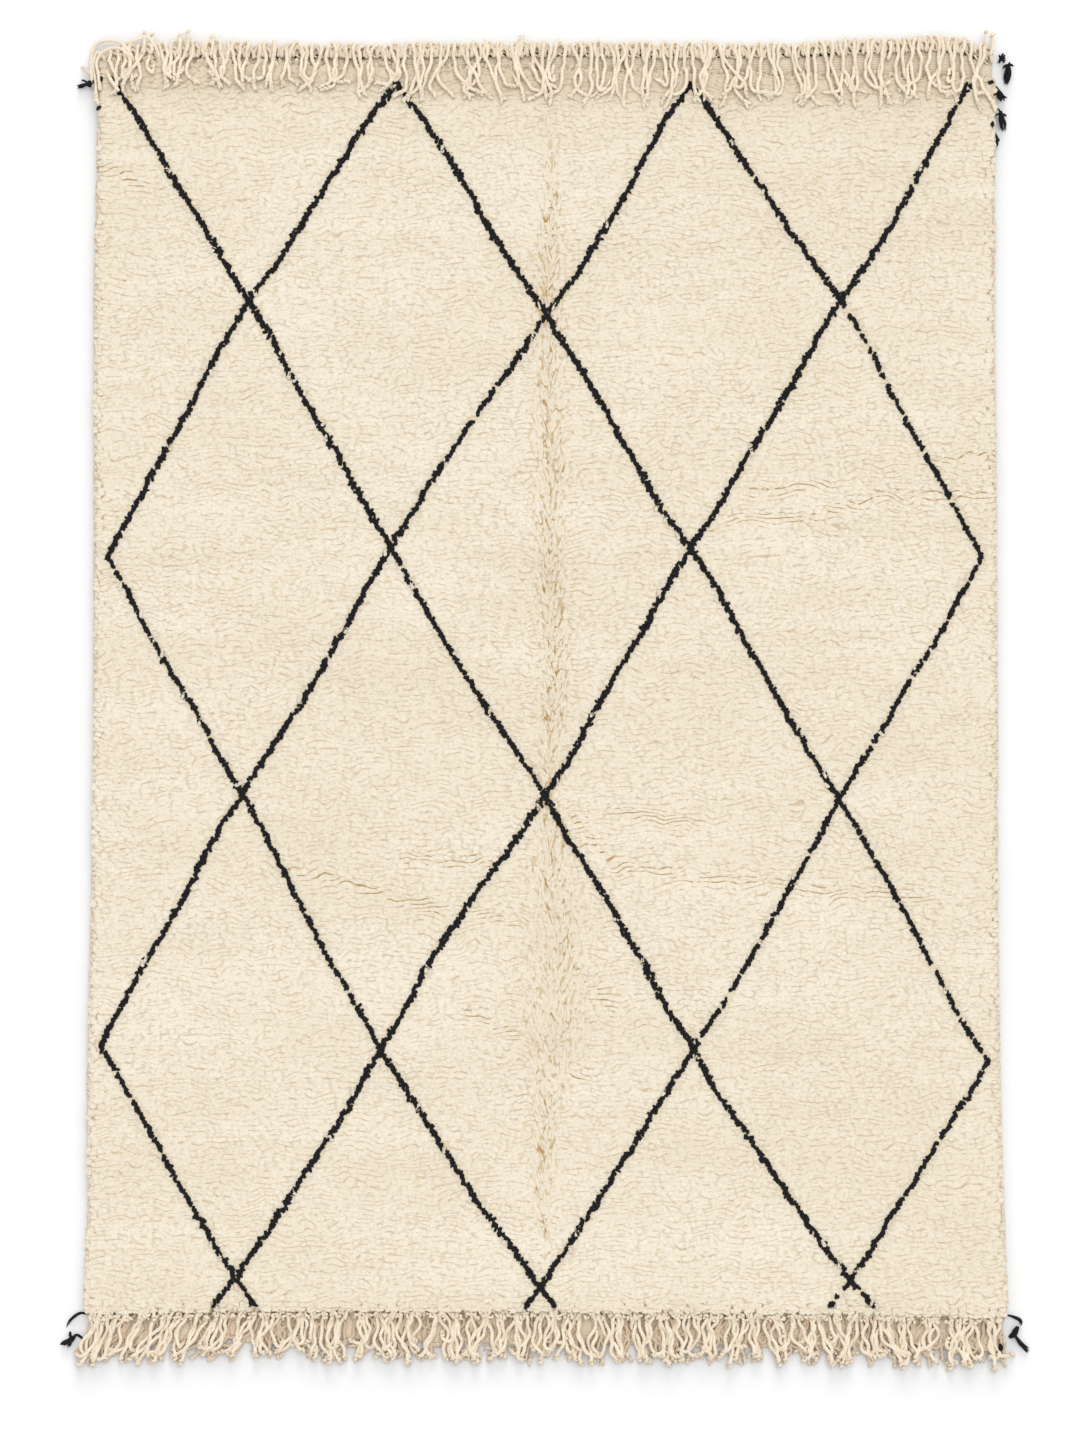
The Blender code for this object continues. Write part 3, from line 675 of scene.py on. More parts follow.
chance = np.random.default_rng(61)
tufts = np.array([np.concatenate(pair) for pair in zip(field_tufts(chance), rim_tufts(chance))])
x, y, root, top, angle, reach, width, _ = tufts
line_distance = distance_to_lattice(x + 0.5 * reach * np.cos(angle), y + 0.5 * reach * np.sin(angle))
crossing = (line_distance <= LINE_CLEAR) & (chance.uniform(0.0, 1.0, len(x)) < CROSSING_SHARE)
root += CROSSING_RISE * crossing  # this changes tufts too, whose rows these names are
top += CROSSING_RISE * crossing
width *= np.where(crossing, 0.5, 1.0)
kept = (line_distance > LINE_CLEAR) | crossing
tuft_x, tuft_y, tuft_root, tuft_top, tuft_angle, tuft_reach, tuft_width, tuft_flatness = tufts[:, kept]
line_distance = line_distance[kept]
tuft_count = len(tuft_x)
ahead = xyz(np.cos(tuft_angle), np.sin(tuft_angle))
across = xyz(-np.sin(tuft_angle), np.cos(tuft_angle))
root_point = xyz(tuft_x, tuft_y, tuft_root)
tip_point = root_point + tuft_reach[:, None] * ahead + chance.normal(0.0, 0.0018, (tuft_count, 1)) * across
tip_point[:, 2] = tuft_top - chance.uniform(0.0001, 0.0004, tuft_count)
front_point = (1.0 - TUFT_FRONT) * root_point + TUFT_FRONT * tip_point
front_point[:, 2] = tuft_top
tuft_paths = np.stack([root_point, front_point, tip_point], axis=1)
tuft_radii = 0.5 * tuft_width[:, None] * TUFT_TAPER

# Tones of the tufts. Each yarn is carded and spun a little lighter or darker, and serves for part of a
# row, so tones run in bands across the rug. The shade of the head cords on the pile under them is
# painted.
yarn_row = soft_noise(0.0, tuft_y, 0.012, 71) + 0.8 * soft_noise(0.15 * tuft_x, tuft_y, 0.05, 72)
tuft_tone = -0.05 + 0.07 * yarn_row + 0.14 * soft_noise(0.4 * tuft_x, tuft_y, 0.09, 73)
tuft_tone += 0.10 * soft_noise(0.25 * tuft_x, tuft_y, 0.022, 75) + chance.normal(0.0, 0.04, tuft_count)
tuft_tone -= 0.03 * np.clip(tuft_x / 0.8, 0.0, 1.0)
tuft_shade = chance.uniform(0.0, 1.0, tuft_count) + 0.35 * soft_noise(tuft_x, tuft_y, 0.06, 74)
tuft_shade = np.clip(tuft_shade, 0.0, 1.0)
under_cords = np.exp(-(((pile_start(share_across(tuft_x, tuft_y)) - tuft_y) / CORD_SHADE) ** 2))
tuft_folded = fold_strength(tuft_x, tuft_y)
tuft_creased = crease_strength(tuft_x, tuft_y)
tuft_streak = np.clip(tuft_folded * chance.uniform(0.5, 1.5, tuft_count), 0.0, 1.0)
tuft_streak = np.maximum(tuft_streak, 0.4 * tuft_creased)
# greyed near the black lines: partly black fibre worn off, partly painted shade
tuft_rubbed_and_shaded = RUB_AND_SHADE * np.clip(1.0 - (line_distance - RUB_AND_SHADE_START) / RUB_AND_SHADE_WIDTH, 0.0, 1.0)
tuft_fields = {
    "tone": tuft_tone, "rubbed": tuft_rubbed_and_shaded, "folded": tuft_folded,
    "opened": np.maximum(tuft_folded, tuft_creased),
}
tuft_side = np.where(tuft_x < fold_course(tuft_y), 1.0, -1.0)
ivory_wool = ivory_material()
swath_of = SWATHS * np.argsort(np.argsort(tuft_y, kind="stable")) // tuft_count
for swath in range(SWATHS):
    chosen = swath_of == swath
    points, faces = strand_mesh(tuft_paths[chosen], tuft_radii[chosen], 3, tuft_flatness[chosen, None, None])
    streaked = tuft_streak[chosen, None]
    # painted shade: tan toward each tuft's root and tip, in the streaks of the fold and the creases, under
    # the head cords and along the fold
    depth = (1 - streaked) * (OPEN_DEPTH - tuft_shade[chosen, None] * TIP_SHADE) + streaked * STREAK_DEPTH
    depth = depth - 0.20 * under_cords[chosen, None] - 0.06 * tuft_folded[chosen, None]
    side = np.repeat(tuft_side[chosen], TUFT_POINTS)
    add_piece(
        f"ivory_tufts_{swath + 1}", points, faces, ivory_wool, "ivory_wool", "pile_field", smooth=False,
        depth=depth.ravel(),
        **{field: np.repeat(values[chosen], TUFT_POINTS) for field, values in tuft_fields.items()},
        lean=points[:, 0] + PARTING_LEAN * side * points[:, 1] + side,
    )

# ----------------------------------------------------------
# Foot fringe. The warps leave the cloth as two-ply cords of undyed wool, knotted near their ends, where
# they fray. At the foot they lie tangled on the floor in two layers, over a thin woven end of the cloth,
# whose colour is partly painted shade: the warm shade seen between the cords.

CORD_RADIUS = 0.0036
CORD_SIDES = 5
CORD_PAINTED_LIGHT = np.array([1.0, 0.95, 0.25, 0.25, 0.95])  # painted light and shade: light on top, brown underneath
TWIST = 0.015  # length of one full turn of the two plies
KNOT_LENGTH = 0.011
FOOT_WIDTH = 1.735
FOOT_FRINGE_LENGTH = 0.107
FOOT_CORDS, FOOT_UNDER_CORDS = 196, 190
FOOT_LIFT = 0.008  # how much higher the foot's cords lie where they leave the cloth
FOOT_KNOT_OUT, FOOT_KNOT_HEIGHT = 0.0215, 0.0160  # of the knots where they leave it
SKIRT_LENGTH = 0.068  # of the thin woven end
SKIRT_TOP = 0.0026
SKIRT_ROWS, SKIRT_COLUMNS = 9, 121
FOOT_LEAN = (
    # across, how far a cord's end lies to the right of its start
    (-0.87, -0.008), (-0.82, -0.042), (-0.66, -0.036), (-0.50, -0.018), (-0.30, 0.006), (-0.10, -0.010),
    (0.10, 0.008), (0.30, -0.006), (0.50, 0.010), (0.70, 0.002), (0.80, 0.012), (0.866, 0.030),
)


def share_at_foot(x):
    """How far across the rug x is at its foot end, whose middle is at 0."""
    return 0.5 + x / FOOT_WIDTH


def cord_mesh(radius, paths):
    """Two-ply cords: tubes of five sides with beads, r (1 + 0.14 cos 2(angle - turns)), where the turns
    are counted along the path."""
    steps = np.linalg.norm(np.diff(paths, axis=1), axis=2)
    along = np.concatenate([np.zeros((len(paths), 1)), np.cumsum(steps, axis=1)], axis=1)
    angle = 2 * math.pi * np.arange(CORD_SIDES) / CORD_SIDES
    radii = radius * (1.0 + 0.14 * np.cos(2.0 * (angle - 2 * math.pi * along[:, :, None] / TWIST)))
    return strand_mesh(paths, radii, CORD_SIDES)


def knots(places, ahead, radius, yarn=0.0026, turns=1.4, stops=9):
    """A knot at each place: a short helix of that radius about the cord's direction ahead, in yarn that
    has a radius of its own."""
    t = np.linspace(0.0, 1.0, stops)[:, None]
    side = np.cross([0.0, 0.0, 1.0], ahead)
    side /= np.linalg.norm(side, axis=1, keepdims=True)
    start = np.arange(len(places))[:, None, None]
    angle = 2 * math.pi * turns * t[None] + start
    paths = places[:, None] + (t[None] - 0.5) * KNOT_LENGTH * ahead[:, None]
    paths = paths + radius * (np.cos(angle) * side[:, None] + np.sin(angle) * np.array([0.0, 0.0, 1.0]))
    return strand_mesh(paths, np.full((len(places), stops), yarn), 4)


def frays(chance, places, ahead, rest, length, width, splay=0.95, count=3, flatness=1.0):
    """Loose strands that fan out from each place along its direction ahead and sink to the height at
    which they rest."""
    turn = chance.uniform(-splay, splay, (len(places), count)).ravel()
    start = np.repeat(places, count, axis=0)
    way = np.repeat(ahead, count, axis=0)
    reach = length * chance.uniform(0.5, 1.15, len(start))[:, None]
    aim = xyz(
        way[:, 0] * np.cos(turn) - way[:, 1] * np.sin(turn),
        way[:, 0] * np.sin(turn) + way[:, 1] * np.cos(turn),
    )
    bent = 0.5 * (aim + way)
    steps = (0.0 * bent, 0.35 * bent, 0.7 * aim, aim)
    paths = start[:, None] + np.stack([reach * step for step in steps], axis=1)
    sink = np.repeat(np.broadcast_to(rest, len(places)), count)[:, None] - start[:, 2:]
    paths[:, :, 2] = start[:, 2:] + sink * np.array([0.0, 0.55, 1.0, 1.0])
    radii = width * np.array([1.0, 1.0, 0.85, 0.0]) * chance.uniform(0.8, 1.15, (len(start), 1))
    return strand_mesh(paths, radii, 4, flatness)


def joined(*parts):
    """Several (points, faces, tone) as one. A tone is one value for all points, or one for each side of
    a cord."""
    points, faces, tones, total = [], [], [], 0
    for part_points, part_faces, tone in parts:
        points.append(part_points)
        faces.extend(group + total for group in part_faces)
        if np.ndim(tone):
            cords = len(part_faces[2])
            rings = (len(part_points) // cords - 1) // CORD_SIDES
            tone = np.tile(np.append(np.tile(tone, rings), 1.0), cords)
        tones.append(np.broadcast_to(tone, len(part_points)))
        total += len(part_points)
    return np.concatenate(points), faces, np.concatenate(tones)


def wandering(chance, x, y, lean, length, swing, gather, curl, stops):
    """Plan paths of cords that set out from (x, y) toward the foot. Their heading swings by a sum of
    two sines and curls at the very end, and each end is drawn toward the nearest of the knots that
    neighbours share, gather apart, and by its lean."""
    count = len(x)
    t = np.linspace(0.0, 1.0, stops)
    phase = chance.uniform(0.0, 2 * math.pi, (2, count, 1))
    speed = chance.uniform(0.6, 1.0, (2, count, 1)) * np.array([1.2, 3.4])[:, None, None]
    slow, fast = np.sin(2 * math.pi * speed * t + phase)
    sway = slow + 0.9 * fast
    heading = -0.5 * math.pi + swing * sway + chance.normal(0.0, curl, (count, 1)) * t**5
    step = (length * chance.uniform(0.95, 1.10, count))[:, None] / (stops - 1)
    path_x = x[:, None] + np.cumsum(step * np.cos(heading), axis=1)
    path_y = y[:, None] + np.cumsum(step * np.sin(heading), axis=1)
    knot = gather * np.round(x / gather + 0.4 * soft_noise(x, 0.0, 0.09, 83))
    pull = lean + 0.6 * (knot - x) + chance.normal(0.0, 0.006, count) - 0.6 * (path_x[:, -1] - x)
    return path_x + pull[:, None] * t**1.4, path_y


def cord_material():
    """Two-ply warp cord of undyed wool with a soft twist: pinker than the pile, and browner along its
    underside and low in the tangle, by painted shade."""
    material, tree, shader, place = wool("warp_cord_wool")
    mottle = add_node(tree, "TexNoise", {"Scale": 90.0, "Detail": 3.0}, Vector=place)  # 11 mm
    unshaded_stops = ((0.3, "#E6D6BD"), (0.55, "#ECDFCA"), (0.75, "#EEE4D3"))
    unshaded = add_node(tree, "ValToRGB", {"stops": unshaded_stops}, Fac=mottle)
    tone = add_node(tree, "Attribute", {"attribute_name": "tone"}).outputs["Fac"]
    # painted shade: brown where the tone is low, along the cords' undersides and low in the tangle
    colour = add_node(tree, "Mix", {"data_type": "RGBA", 6: linear("#966B2E")}, _0=tone, _7=unshaded)
    link(tree, colour, shader, "Base Color")
    fibre_bump(tree, shader, place, 500.0, 0.5)
    return material


def cord_ends(paths):
    """Where each cord ends, and the way it points there."""
    ways = paths[:, -1] - paths[:, -4]
    ways[:, 2] = 0.0
    return paths[:, -1], ways / np.linalg.norm(ways, axis=1, keepdims=True)


def over_and_under(chance, count, stops, low, high):
    """Heights along each cord that rise and fall between low and high, so that cords cross."""
    t = np.linspace(0.0, 1.0, stops)
    phase, speed = chance.uniform(0, 2 * math.pi, (count, 1)), chance.uniform(1.0, 2.6, (count, 1))
    return low + (high - low) * (0.5 + 0.5 * np.sin(2 * math.pi * speed * t + phase))


def foot_cords(chance, count, low, high, swing, stops=34):
    """Cords that come out from under the pile at the foot and lie between two heights."""
    x = np.linspace(-0.856, 0.858, count) + chance.uniform(-0.006, 0.006, count)
    y = edge_foot(share_at_foot(x)) + 0.012
    lean = np.interp(x, *zip(*FOOT_LEAN))
    plan_x, plan_y = wandering(
        chance, x, y, lean, FOOT_FRINGE_LENGTH, swing, gather=0.044, curl=1.5, stops=stops
    )
    lift = FOOT_LIFT * np.exp(-np.linspace(0.0, 1.0, stops) / 0.15)
    heights = over_and_under(chance, count, stops, low, high) + lift
    return xyz(plan_x, plan_y, heights)


skirt_share = np.linspace(0.004, 0.996, SKIRT_COLUMNS)[None]
skirt_y = edge_foot(skirt_share)
skirt_x = np.repeat(place_across(skirt_share, skirt_y), SKIRT_ROWS, axis=0)
skirt_out = np.linspace(1.0, 0.0, SKIRT_ROWS)[:, None]
skirt_reach = SKIRT_LENGTH + 0.010 * soft_noise(skirt_x, 0.0, 0.05, 86)
skirt_y = skirt_y - FOOT_STRIP - skirt_out * (skirt_reach - FOOT_STRIP)
skirt_z = SKIRT_TOP + SLACK * soft_noise(skirt_x, skirt_y, 0.02, 87)
skirt_points, skirt_faces = slab(skirt_x, skirt_y, skirt_z, GROUND_BOTTOM)
# partly painted shade: the thin woven end under the foot cords is coloured as the warm shade between them
skirt_wool = ground_material("foot_skirt_wool", ((0.0, "#DCC8AB"), (0.7, "#F2E4CF")))
foot_skirt = add_piece(
    "foot_skirt", skirt_points, skirt_faces, skirt_wool, "warp_yarn", "foot_fringe",
    heading=np.ones(len(skirt_points)),
)

cord_wool = cord_material()
chance = np.random.default_rng(81)
foot_paths = foot_cords(chance, FOOT_CORDS, 0.0064, 0.0128, 0.38)
under_paths = foot_cords(chance, FOOT_UNDER_CORDS, 0.0046, 0.0054, 0.50, 24)
foot_ends, foot_ways = cord_ends(foot_paths)
under_ends, under_ways = cord_ends(under_paths)
foot_heads = foot_paths[:, 0] - np.array([0.0, FOOT_KNOT_OUT, 0.0])
foot_heads[:, 2] = FOOT_KNOT_HEIGHT
foot_heads[:, 1:] += chance.uniform(-1.0, 1.0, (FOOT_CORDS, 2)) * np.array([0.0035, 0.0015])
# painted shade: the lower layer of cords is drawn browner, and the knots and frays a little browner, those
# low in the tangle more so
foot_points, foot_faces, foot_tone = joined(
    (*cord_mesh(CORD_RADIUS, foot_paths), CORD_PAINTED_LIGHT),
    (*cord_mesh(0.9 * CORD_RADIUS, under_paths), 0.6 * CORD_PAINTED_LIGHT),
    (*knots(foot_heads, foot_ways, radius=0.0026, turns=1.2), 0.95),
    (*knots(foot_ends, foot_ways, radius=0.0029, yarn=0.0029), 0.9),
    (*knots(under_ends, under_ways, radius=0.0014), 0.8),
    (*frays(chance, foot_ends, foot_ways, 0.0030, length=0.011, width=0.0028, splay=0.7), 0.9),
    (*frays(chance, under_ends, under_ways, 0.0028, length=0.012, width=0.0026, splay=0.7), 0.8),
)
foot_points[:, 2] = np.maximum(foot_points[:, 2], 0.0002)
foot_fringe = add_piece(
    "foot_fringe_cords", foot_points, foot_faces, cord_wool, "warp_yarn", "foot_fringe", tone=foot_tone
)

# ----------------------------------------------------------
# Head fringe. At the head the same cords turn up, fold back over the heading and end on the pile, with
# short loops between them over the heading's edge. Four loose cords lie at the left corner.

HEAD_WIDTH, HEAD_CENTRE = 1.681, 0.0025
HEAD_CORDS, EDGE_LOOPS = 126, 120
LEG_STOPS = 8  # of a cord from its fold to its knot, before it is smoothed
CORD_STOPS, LOOP_STOPS, STRAY_STOPS = 44, 17, 10  # of the smoothed paths
LOOP_REACH = 0.013
HEAD_LEAN = (
    # across, how far a cord's end lies to the right of its start
    (-0.84, 0.006), (-0.70, 0.012), (-0.40, -0.008), (-0.10, 0.012), (0.20, -0.006), (0.50, 0.010),
    (0.84, 0.004),
)
HEAD_LENGTH = (
    # across, length of the cords from the fold to the knot
    (-0.84, 0.060), (-0.50, 0.070), (-0.20, 0.088), (0.30, 0.094), (0.84, 0.100),
)
HEAD_FOLD = (
    # across, how far past the heading's edge the cords fold over
    (-0.84, 0.011), (-0.60, 0.009), (-0.45, 0.004), (0.70, 0.004), (0.84, 0.006),
)
FOLD_COURSE = (
    # of a cord that folds over: share of its step aside, share of its fold, height
    (1.0, -0.7, 0.0045), (0.9, 0.35, 0.0055), (0.55, 0.95, 0.0085), (0.15, 0.85, 0.0130),
)
LOOP_COURSE = (
    # of a loop over the heading's edge: share of its half width, share of its reach, height
    (-1.1, -1.6, 0.0100), (-0.9, -0.5, 0.0095), (0.0, 0.05, 0.0090), (0.9, -0.5, 0.0100),
    (1.2, -1.7, 0.0105),
)
CORNER_CORDS = (
    # waypoints across, along and up, in mm: the loose cords at the head's left corner
    ((-855, 1160, 6), (-857, 1188, 8), (-856, 1222, 10), (-845, 1241, 11), (-824, 1247, 12),
     (-798, 1240, 14), (-780, 1216, 13), (-772, 1186, 16)),
    ((-838, 1150, 24), (-842, 1180, 17), (-846, 1206, 13), (-832, 1226, 14), (-808, 1232, 15),
     (-790, 1222, 14), (-782, 1198, 14), (-778, 1165, 25)),
    ((-803, 1148, 27), (-818, 1170, 26), (-828, 1192, 14), (-834, 1216, 12), (-846, 1224, 11),
     (-853, 1200, 9), (-848, 1170, 10), (-846, 1140, 22)),
    ((-790, 1240, 8), (-776, 1246, 12), (-752, 1252, 14), (-736, 1236, 14), (-728, 1212, 13),
     (-720, 1196, 14), (-716, 1180, 19), (-712, 1166, 26)),
)
STRAY_ENDS = (
    # across and along of a knotted end that sticks out past the head edge, in mm
    (-757, 1259), (-742, 1256), (-675, 1262), (-690, 1256), (-628, 1254), (-46, 1252),
    (650, 1246), (831, 1261), (843, 1255), (-110, 1243), (300, 1242),
)
STRAY_HEIGHT = 11.0  # in mm
STRAY_RUN = np.array([0.004, 0.036, -0.001])  # from where such a cord shows to its end
STRAY_BOW = np.array([0.003, 0.0, 0.003])  # of its middle
STRAY_WAY = (0.2, 0.98, 0.0)  # of its frayed tip


def smooth_path(points, stops):
    """Even stops along the Catmull-Rom curve through each path's waypoints, from (paths, waypoints, 3)
    to (paths, stops, 3)."""
    u = np.linspace(0.0, points.shape[1] - 1.0, stops)
    i = np.minimum(u.astype(int), points.shape[1] - 2)
    t = (u - i)[:, None]
    before, after = 2 * points[:, :1] - points[:, 1:2], 2 * points[:, -1:] - points[:, -2:-1]
    padded = np.concatenate([before, points, after], axis=1)
    a, b, c, d = (padded[:, i + k] for k in range(4))
    return 0.5 * (2 * b + (c - a) * t + (2 * a - 5 * b + 4 * c - d) * t**2 + (3 * b - a - 3 * c + d) * t**3)


def share_at_head(x):
    """How far across the rug x is at its head end, which isn't quite centred."""
    return 0.5 + (x - HEAD_CENTRE) / HEAD_WIDTH


def rest_height(x, y):
    """Height of the middle of a cord that lies on the heading, or past its edge on the pile."""
    onto_pile = pile_start(share_at_head(x)) - y
    steps, heights = (-0.013, -0.003, 0.007, 0.015, 0.027), (0.0105, 0.0160, 0.0215, 0.0228, 0.0230)
    return np.interp(onto_pile, steps, heights)


head_x = np.linspace(-0.822, 0.830, HEAD_CORDS) + chance.uniform(-0.006, 0.006, HEAD_CORDS)
head_edge = edge_head(share_at_head(head_x))
head_lean = np.interp(head_x, *zip(*HEAD_LEAN)) + np.where(
    chance.uniform(0.0, 1.0, HEAD_CORDS) < 0.2, chance.uniform(-0.05, 0.05, HEAD_CORDS), 0.0
)
head_length = np.interp(head_x, *zip(*HEAD_LENGTH))
leg_x, leg_y = wandering(
    chance, head_x, head_edge + 0.006, head_lean, head_length, swing=0.22, gather=0.048, curl=1.2,
    stops=LEG_STOPS,
)
leg_height = rest_height(leg_x, leg_y) + over_and_under(chance, HEAD_CORDS, LEG_STOPS, 0.0, 0.0045)
head_legs = xyz(leg_x, leg_y, leg_height)
fold_side = chance.uniform(-0.020, 0.020, HEAD_CORDS)
fold_out = np.interp(head_x, *zip(*HEAD_FOLD)) + chance.uniform(-0.003, 0.004, HEAD_CORDS)
fold_points = np.stack([
    xyz(head_x + share * fold_side, head_edge + out * fold_out, up)
    for share, out, up in FOLD_COURSE
], axis=1)
head_paths = smooth_path(np.concatenate([fold_points, head_legs], axis=1), CORD_STOPS)
corner_paths = smooth_path(0.001 * np.array(CORNER_CORDS, dtype=float), CORD_STOPS)
head_paths = np.concatenate([head_paths, corner_paths])
head_ends, head_ways = cord_ends(head_paths)
edge_x = np.linspace(-0.815, 0.828, EDGE_LOOPS) + chance.uniform(-0.006, 0.006, EDGE_LOOPS)
edge_y = edge_head(share_at_head(edge_x))
edge_half, edge_out = chance.uniform(0.007, 0.015, EDGE_LOOPS), chance.uniform(-0.003, 0.004, EDGE_LOOPS)
edge_points = np.stack([
    xyz(edge_x + share * edge_half, edge_y + out * LOOP_REACH + edge_out, up)
    for share, out, up in LOOP_COURSE
], axis=1)
edge_paths = smooth_path(edge_points, LOOP_STOPS)
stray_ends = 0.001 * xyz(*np.transpose(STRAY_ENDS), STRAY_HEIGHT)
stray_starts = stray_ends - STRAY_RUN
stray_middles = 0.5 * (stray_starts + stray_ends) + STRAY_BOW
stray_paths = smooth_path(np.stack([stray_starts, stray_middles, stray_ends], axis=1), STRAY_STOPS)
stray_ways = np.tile(STRAY_WAY, (len(stray_ends), 1))
head_rest = rest_height(*head_ends.T[:2])
# painted shade: each cord is browner along its underside, and the short loops over the heading's edge
# browner still
head_points, head_faces, head_tone = joined(
    (*cord_mesh(CORD_RADIUS, head_paths), CORD_PAINTED_LIGHT),
    (*cord_mesh(CORD_RADIUS, edge_paths), 0.85 * CORD_PAINTED_LIGHT),
    (*knots(head_ends, head_ways, radius=0.0022), 1.0),
    (*frays(chance, head_ends, head_ways, head_rest - 0.0004, 0.020, 0.0036, 0.45, 2, 0.6), 1.0),
    (*cord_mesh(CORD_RADIUS, stray_paths), CORD_PAINTED_LIGHT),
    (*knots(stray_ends, stray_ways, radius=0.0024), 1.0),
    (*frays(chance, stray_ends, stray_ways, 0.010, length=0.009, width=0.0020), 1.0),
)
head_fringe = add_piece(
    "head_fringe_cords", head_points, head_faces, cord_wool, "warp_yarn", "head_fringe", tone=head_tone
)

# ----------------------------------------------------------
# Twined row. One row of black and cream yarn is twined across the heading to lock the wefts before the
# fringe begins. The cream strand is pulled tight over the black one, which shows only here and there.

TWINE_INSET = 0.017  # from the head edge
TWINE_PITCH = 0.016
TWINE_YARN = 0.0021  # radius
TWINE_STOPS = 640


def twined_strand(phase, sinking):
    """One of the row's two strands: a helix that follows the head edge, (x, y + r cos a, z + r sin a),
    with a full turn every pitch, that sinks into the heading over most of its way."""
    x = np.linspace(-0.832, 0.838, TWINE_STOPS)
    angle = 2 * math.pi * x / TWINE_PITCH + phase
    y = edge_head(share_at_head(x)) - TWINE_INSET + TWINE_YARN * np.cos(angle)
    z = HEADING_TOP + TWINE_YARN + 0.8 * TWINE_YARN * np.sin(angle)
    z = z - sinking * np.clip(0.5 - 4.0 * soft_noise(x, 0.0, 0.022, 85), 0.0, 1.0)
    return strand_mesh(xyz(x, y, z)[None], np.full((1, TWINE_STOPS), TWINE_YARN), 5)


twined_black = add_piece(
    "twined_row_black", *twined_strand(0.0, 0.0035), black_wool, "black_wool", "pile_field"
)
cream_points, cream_faces = twined_strand(math.pi, 0.0)
twined_cream = add_piece(
    "twined_row_cream", cream_points, cream_faces, cord_wool, "warp_yarn", "pile_field",
    tone=np.full(len(cream_points), 0.9),
)

# ----------------------------------------------------------
# Corner tassels. Black yarn left over from the selvedges is bound off in small tassels at the four
# corners, each with a few splayed ends. One cream end stays loose at the head's left corner.

YARN = 0.0012  # radius
YARN_TAPER = np.array([1, 1, 1, 1, 1, 1, 0.95, 0.8, 0])  # at each of its stops
COURSE_STOPS = 33
TASSELS = {
    # each bundle: thickness in mm, yarns, how many times wider its far end is, and its waypoints
    # across, along and up in mm
    "tassel_head_right_1": (
        (8, 11, 0.8, (857, 1209, 8), (861, 1215, 9), (868, 1224, 5)),
        (7, 6, 0.6, (857, 1209, 8), (861, 1214, 9), (855, 1222, 7)),
        (7, 6, 0.6, (857, 1211, 8), (861, 1213, 9), (872, 1212, 5)),
        (5, 5, 0.6, (860, 1214, 9), (858, 1209, 8), (853, 1203, 7)),
        (5, 5, 0.6, (860, 1214, 9), (864, 1210, 7), (867, 1204, 4)),
    ),
    "tassel_head_right_2": (
        (16, 26, 0.0, (872, 1203, 7), (873, 1190, 8), (872, 1176, 6), (871, 1164, 4)),
        (5, 6, 0.9, (868, 1199, 8), (877, 1202, 8), (886, 1199, 5)),
        (5, 5, 0.9, (876, 1198, 8), (869, 1200, 8), (861, 1195, 6)),
        (5, 5, 0.8, (873, 1196, 8), (875, 1203, 8), (879, 1209, 5)),
    ),
    "tassel_head_right_3": (
        (14, 22, 0.3, (850, 1160, 9), (854, 1150, 10), (860, 1140, 7), (864, 1130, 5)),
        (5, 6, 0.6, (855, 1150, 9), (864, 1144, 7), (872, 1138, 5)),
        (5, 5, 0.6, (854, 1152, 9), (849, 1148, 12), (846, 1141, 13)),
    ),
    "tassel_head_right_4": (
        (15, 26, 0.0, (859, 1114, 8), (861, 1101, 8), (864, 1088, 6), (866, 1075, 4)),
        (5, 5, 0.9, (860, 1111, 8), (855, 1118, 9), (846, 1121, 12)),
        (5, 5, 0.9, (861, 1110, 8), (854, 1108, 9), (846, 1103, 12)),
        (5, 5, 0.9, (858, 1110, 8), (866, 1108, 6), (875, 1103, 4)),
    ),
    "tassel_head_right_5": (
        (13, 20, 0.2, (846, 1073, 9), (849, 1065, 9), (849, 1055, 7), (848, 1046, 5)),
        (5, 6, 0.5, (847, 1067, 9), (853, 1063, 7), (860, 1058, 4)),
    ),
    "tassel_head_left": (
        (15, 28, 0.0, (-855, 1168, 8), (-860, 1166, 8), (-866, 1164, 7)),
        (8, 10, 0.5, (-860, 1166, 7), (-874, 1163, 6), (-889, 1158, 4)),
        (7, 8, 0.4, (-858, 1168, 8), (-848, 1172, 10), (-837, 1176, 12)),
        (5, 5, 0.8, (-862, 1166, 7), (-870, 1171, 6), (-878, 1174, 4)),
    ),
    "tassel_foot_left_1": (
        (8, 11, 0.1, (-866, -1156, 8), (-876, -1155, 7), (-887, -1159, 5), (-898, -1168, 4),
         (-905, -1185, 4)),
    ),
    "tassel_foot_left_2": (
        (12, 18, 0.2, (-888, -1198, 6), (-893, -1203, 7), (-898, -1208, 6), (-900, -1224, 4)),
        (11, 15, 0.3, (-890, -1202, 7), (-898, -1206, 7), (-908, -1212, 5), (-919, -1217, 4)),
        (7, 9, 0.2, (-894, -1203, 7), (-898, -1196, 6), (-898, -1189, 4)),
        (7, 8, 0.1, (-895, -1203, 7), (-885, -1195, 9), (-874, -1201, 12), (-878, -1209, 10)),
    ),
    "tassel_foot_right": (
        (8, 11, 0.1, (870, -1158, 8), (880, -1160, 7), (892, -1165, 6), (898, -1172, 5), (894, -1180, 7)),
        (15, 25, 0.0, (892, -1180, 7), (887, -1189, 8), (882, -1197, 8), (874, -1203, 6)),
        (9, 12, 0.3, (884, -1193, 8), (893, -1206, 6), (901, -1216, 5), (916, -1226, 4)),
        (8, 10, 0.3, (886, -1195, 8), (896, -1210, 6), (905, -1222, 5), (914, -1234, 4)),
        (11, 15, 0.4, (856, -1212, 13), (858, -1220, 13), (851, -1232, 11)),
    ),
}


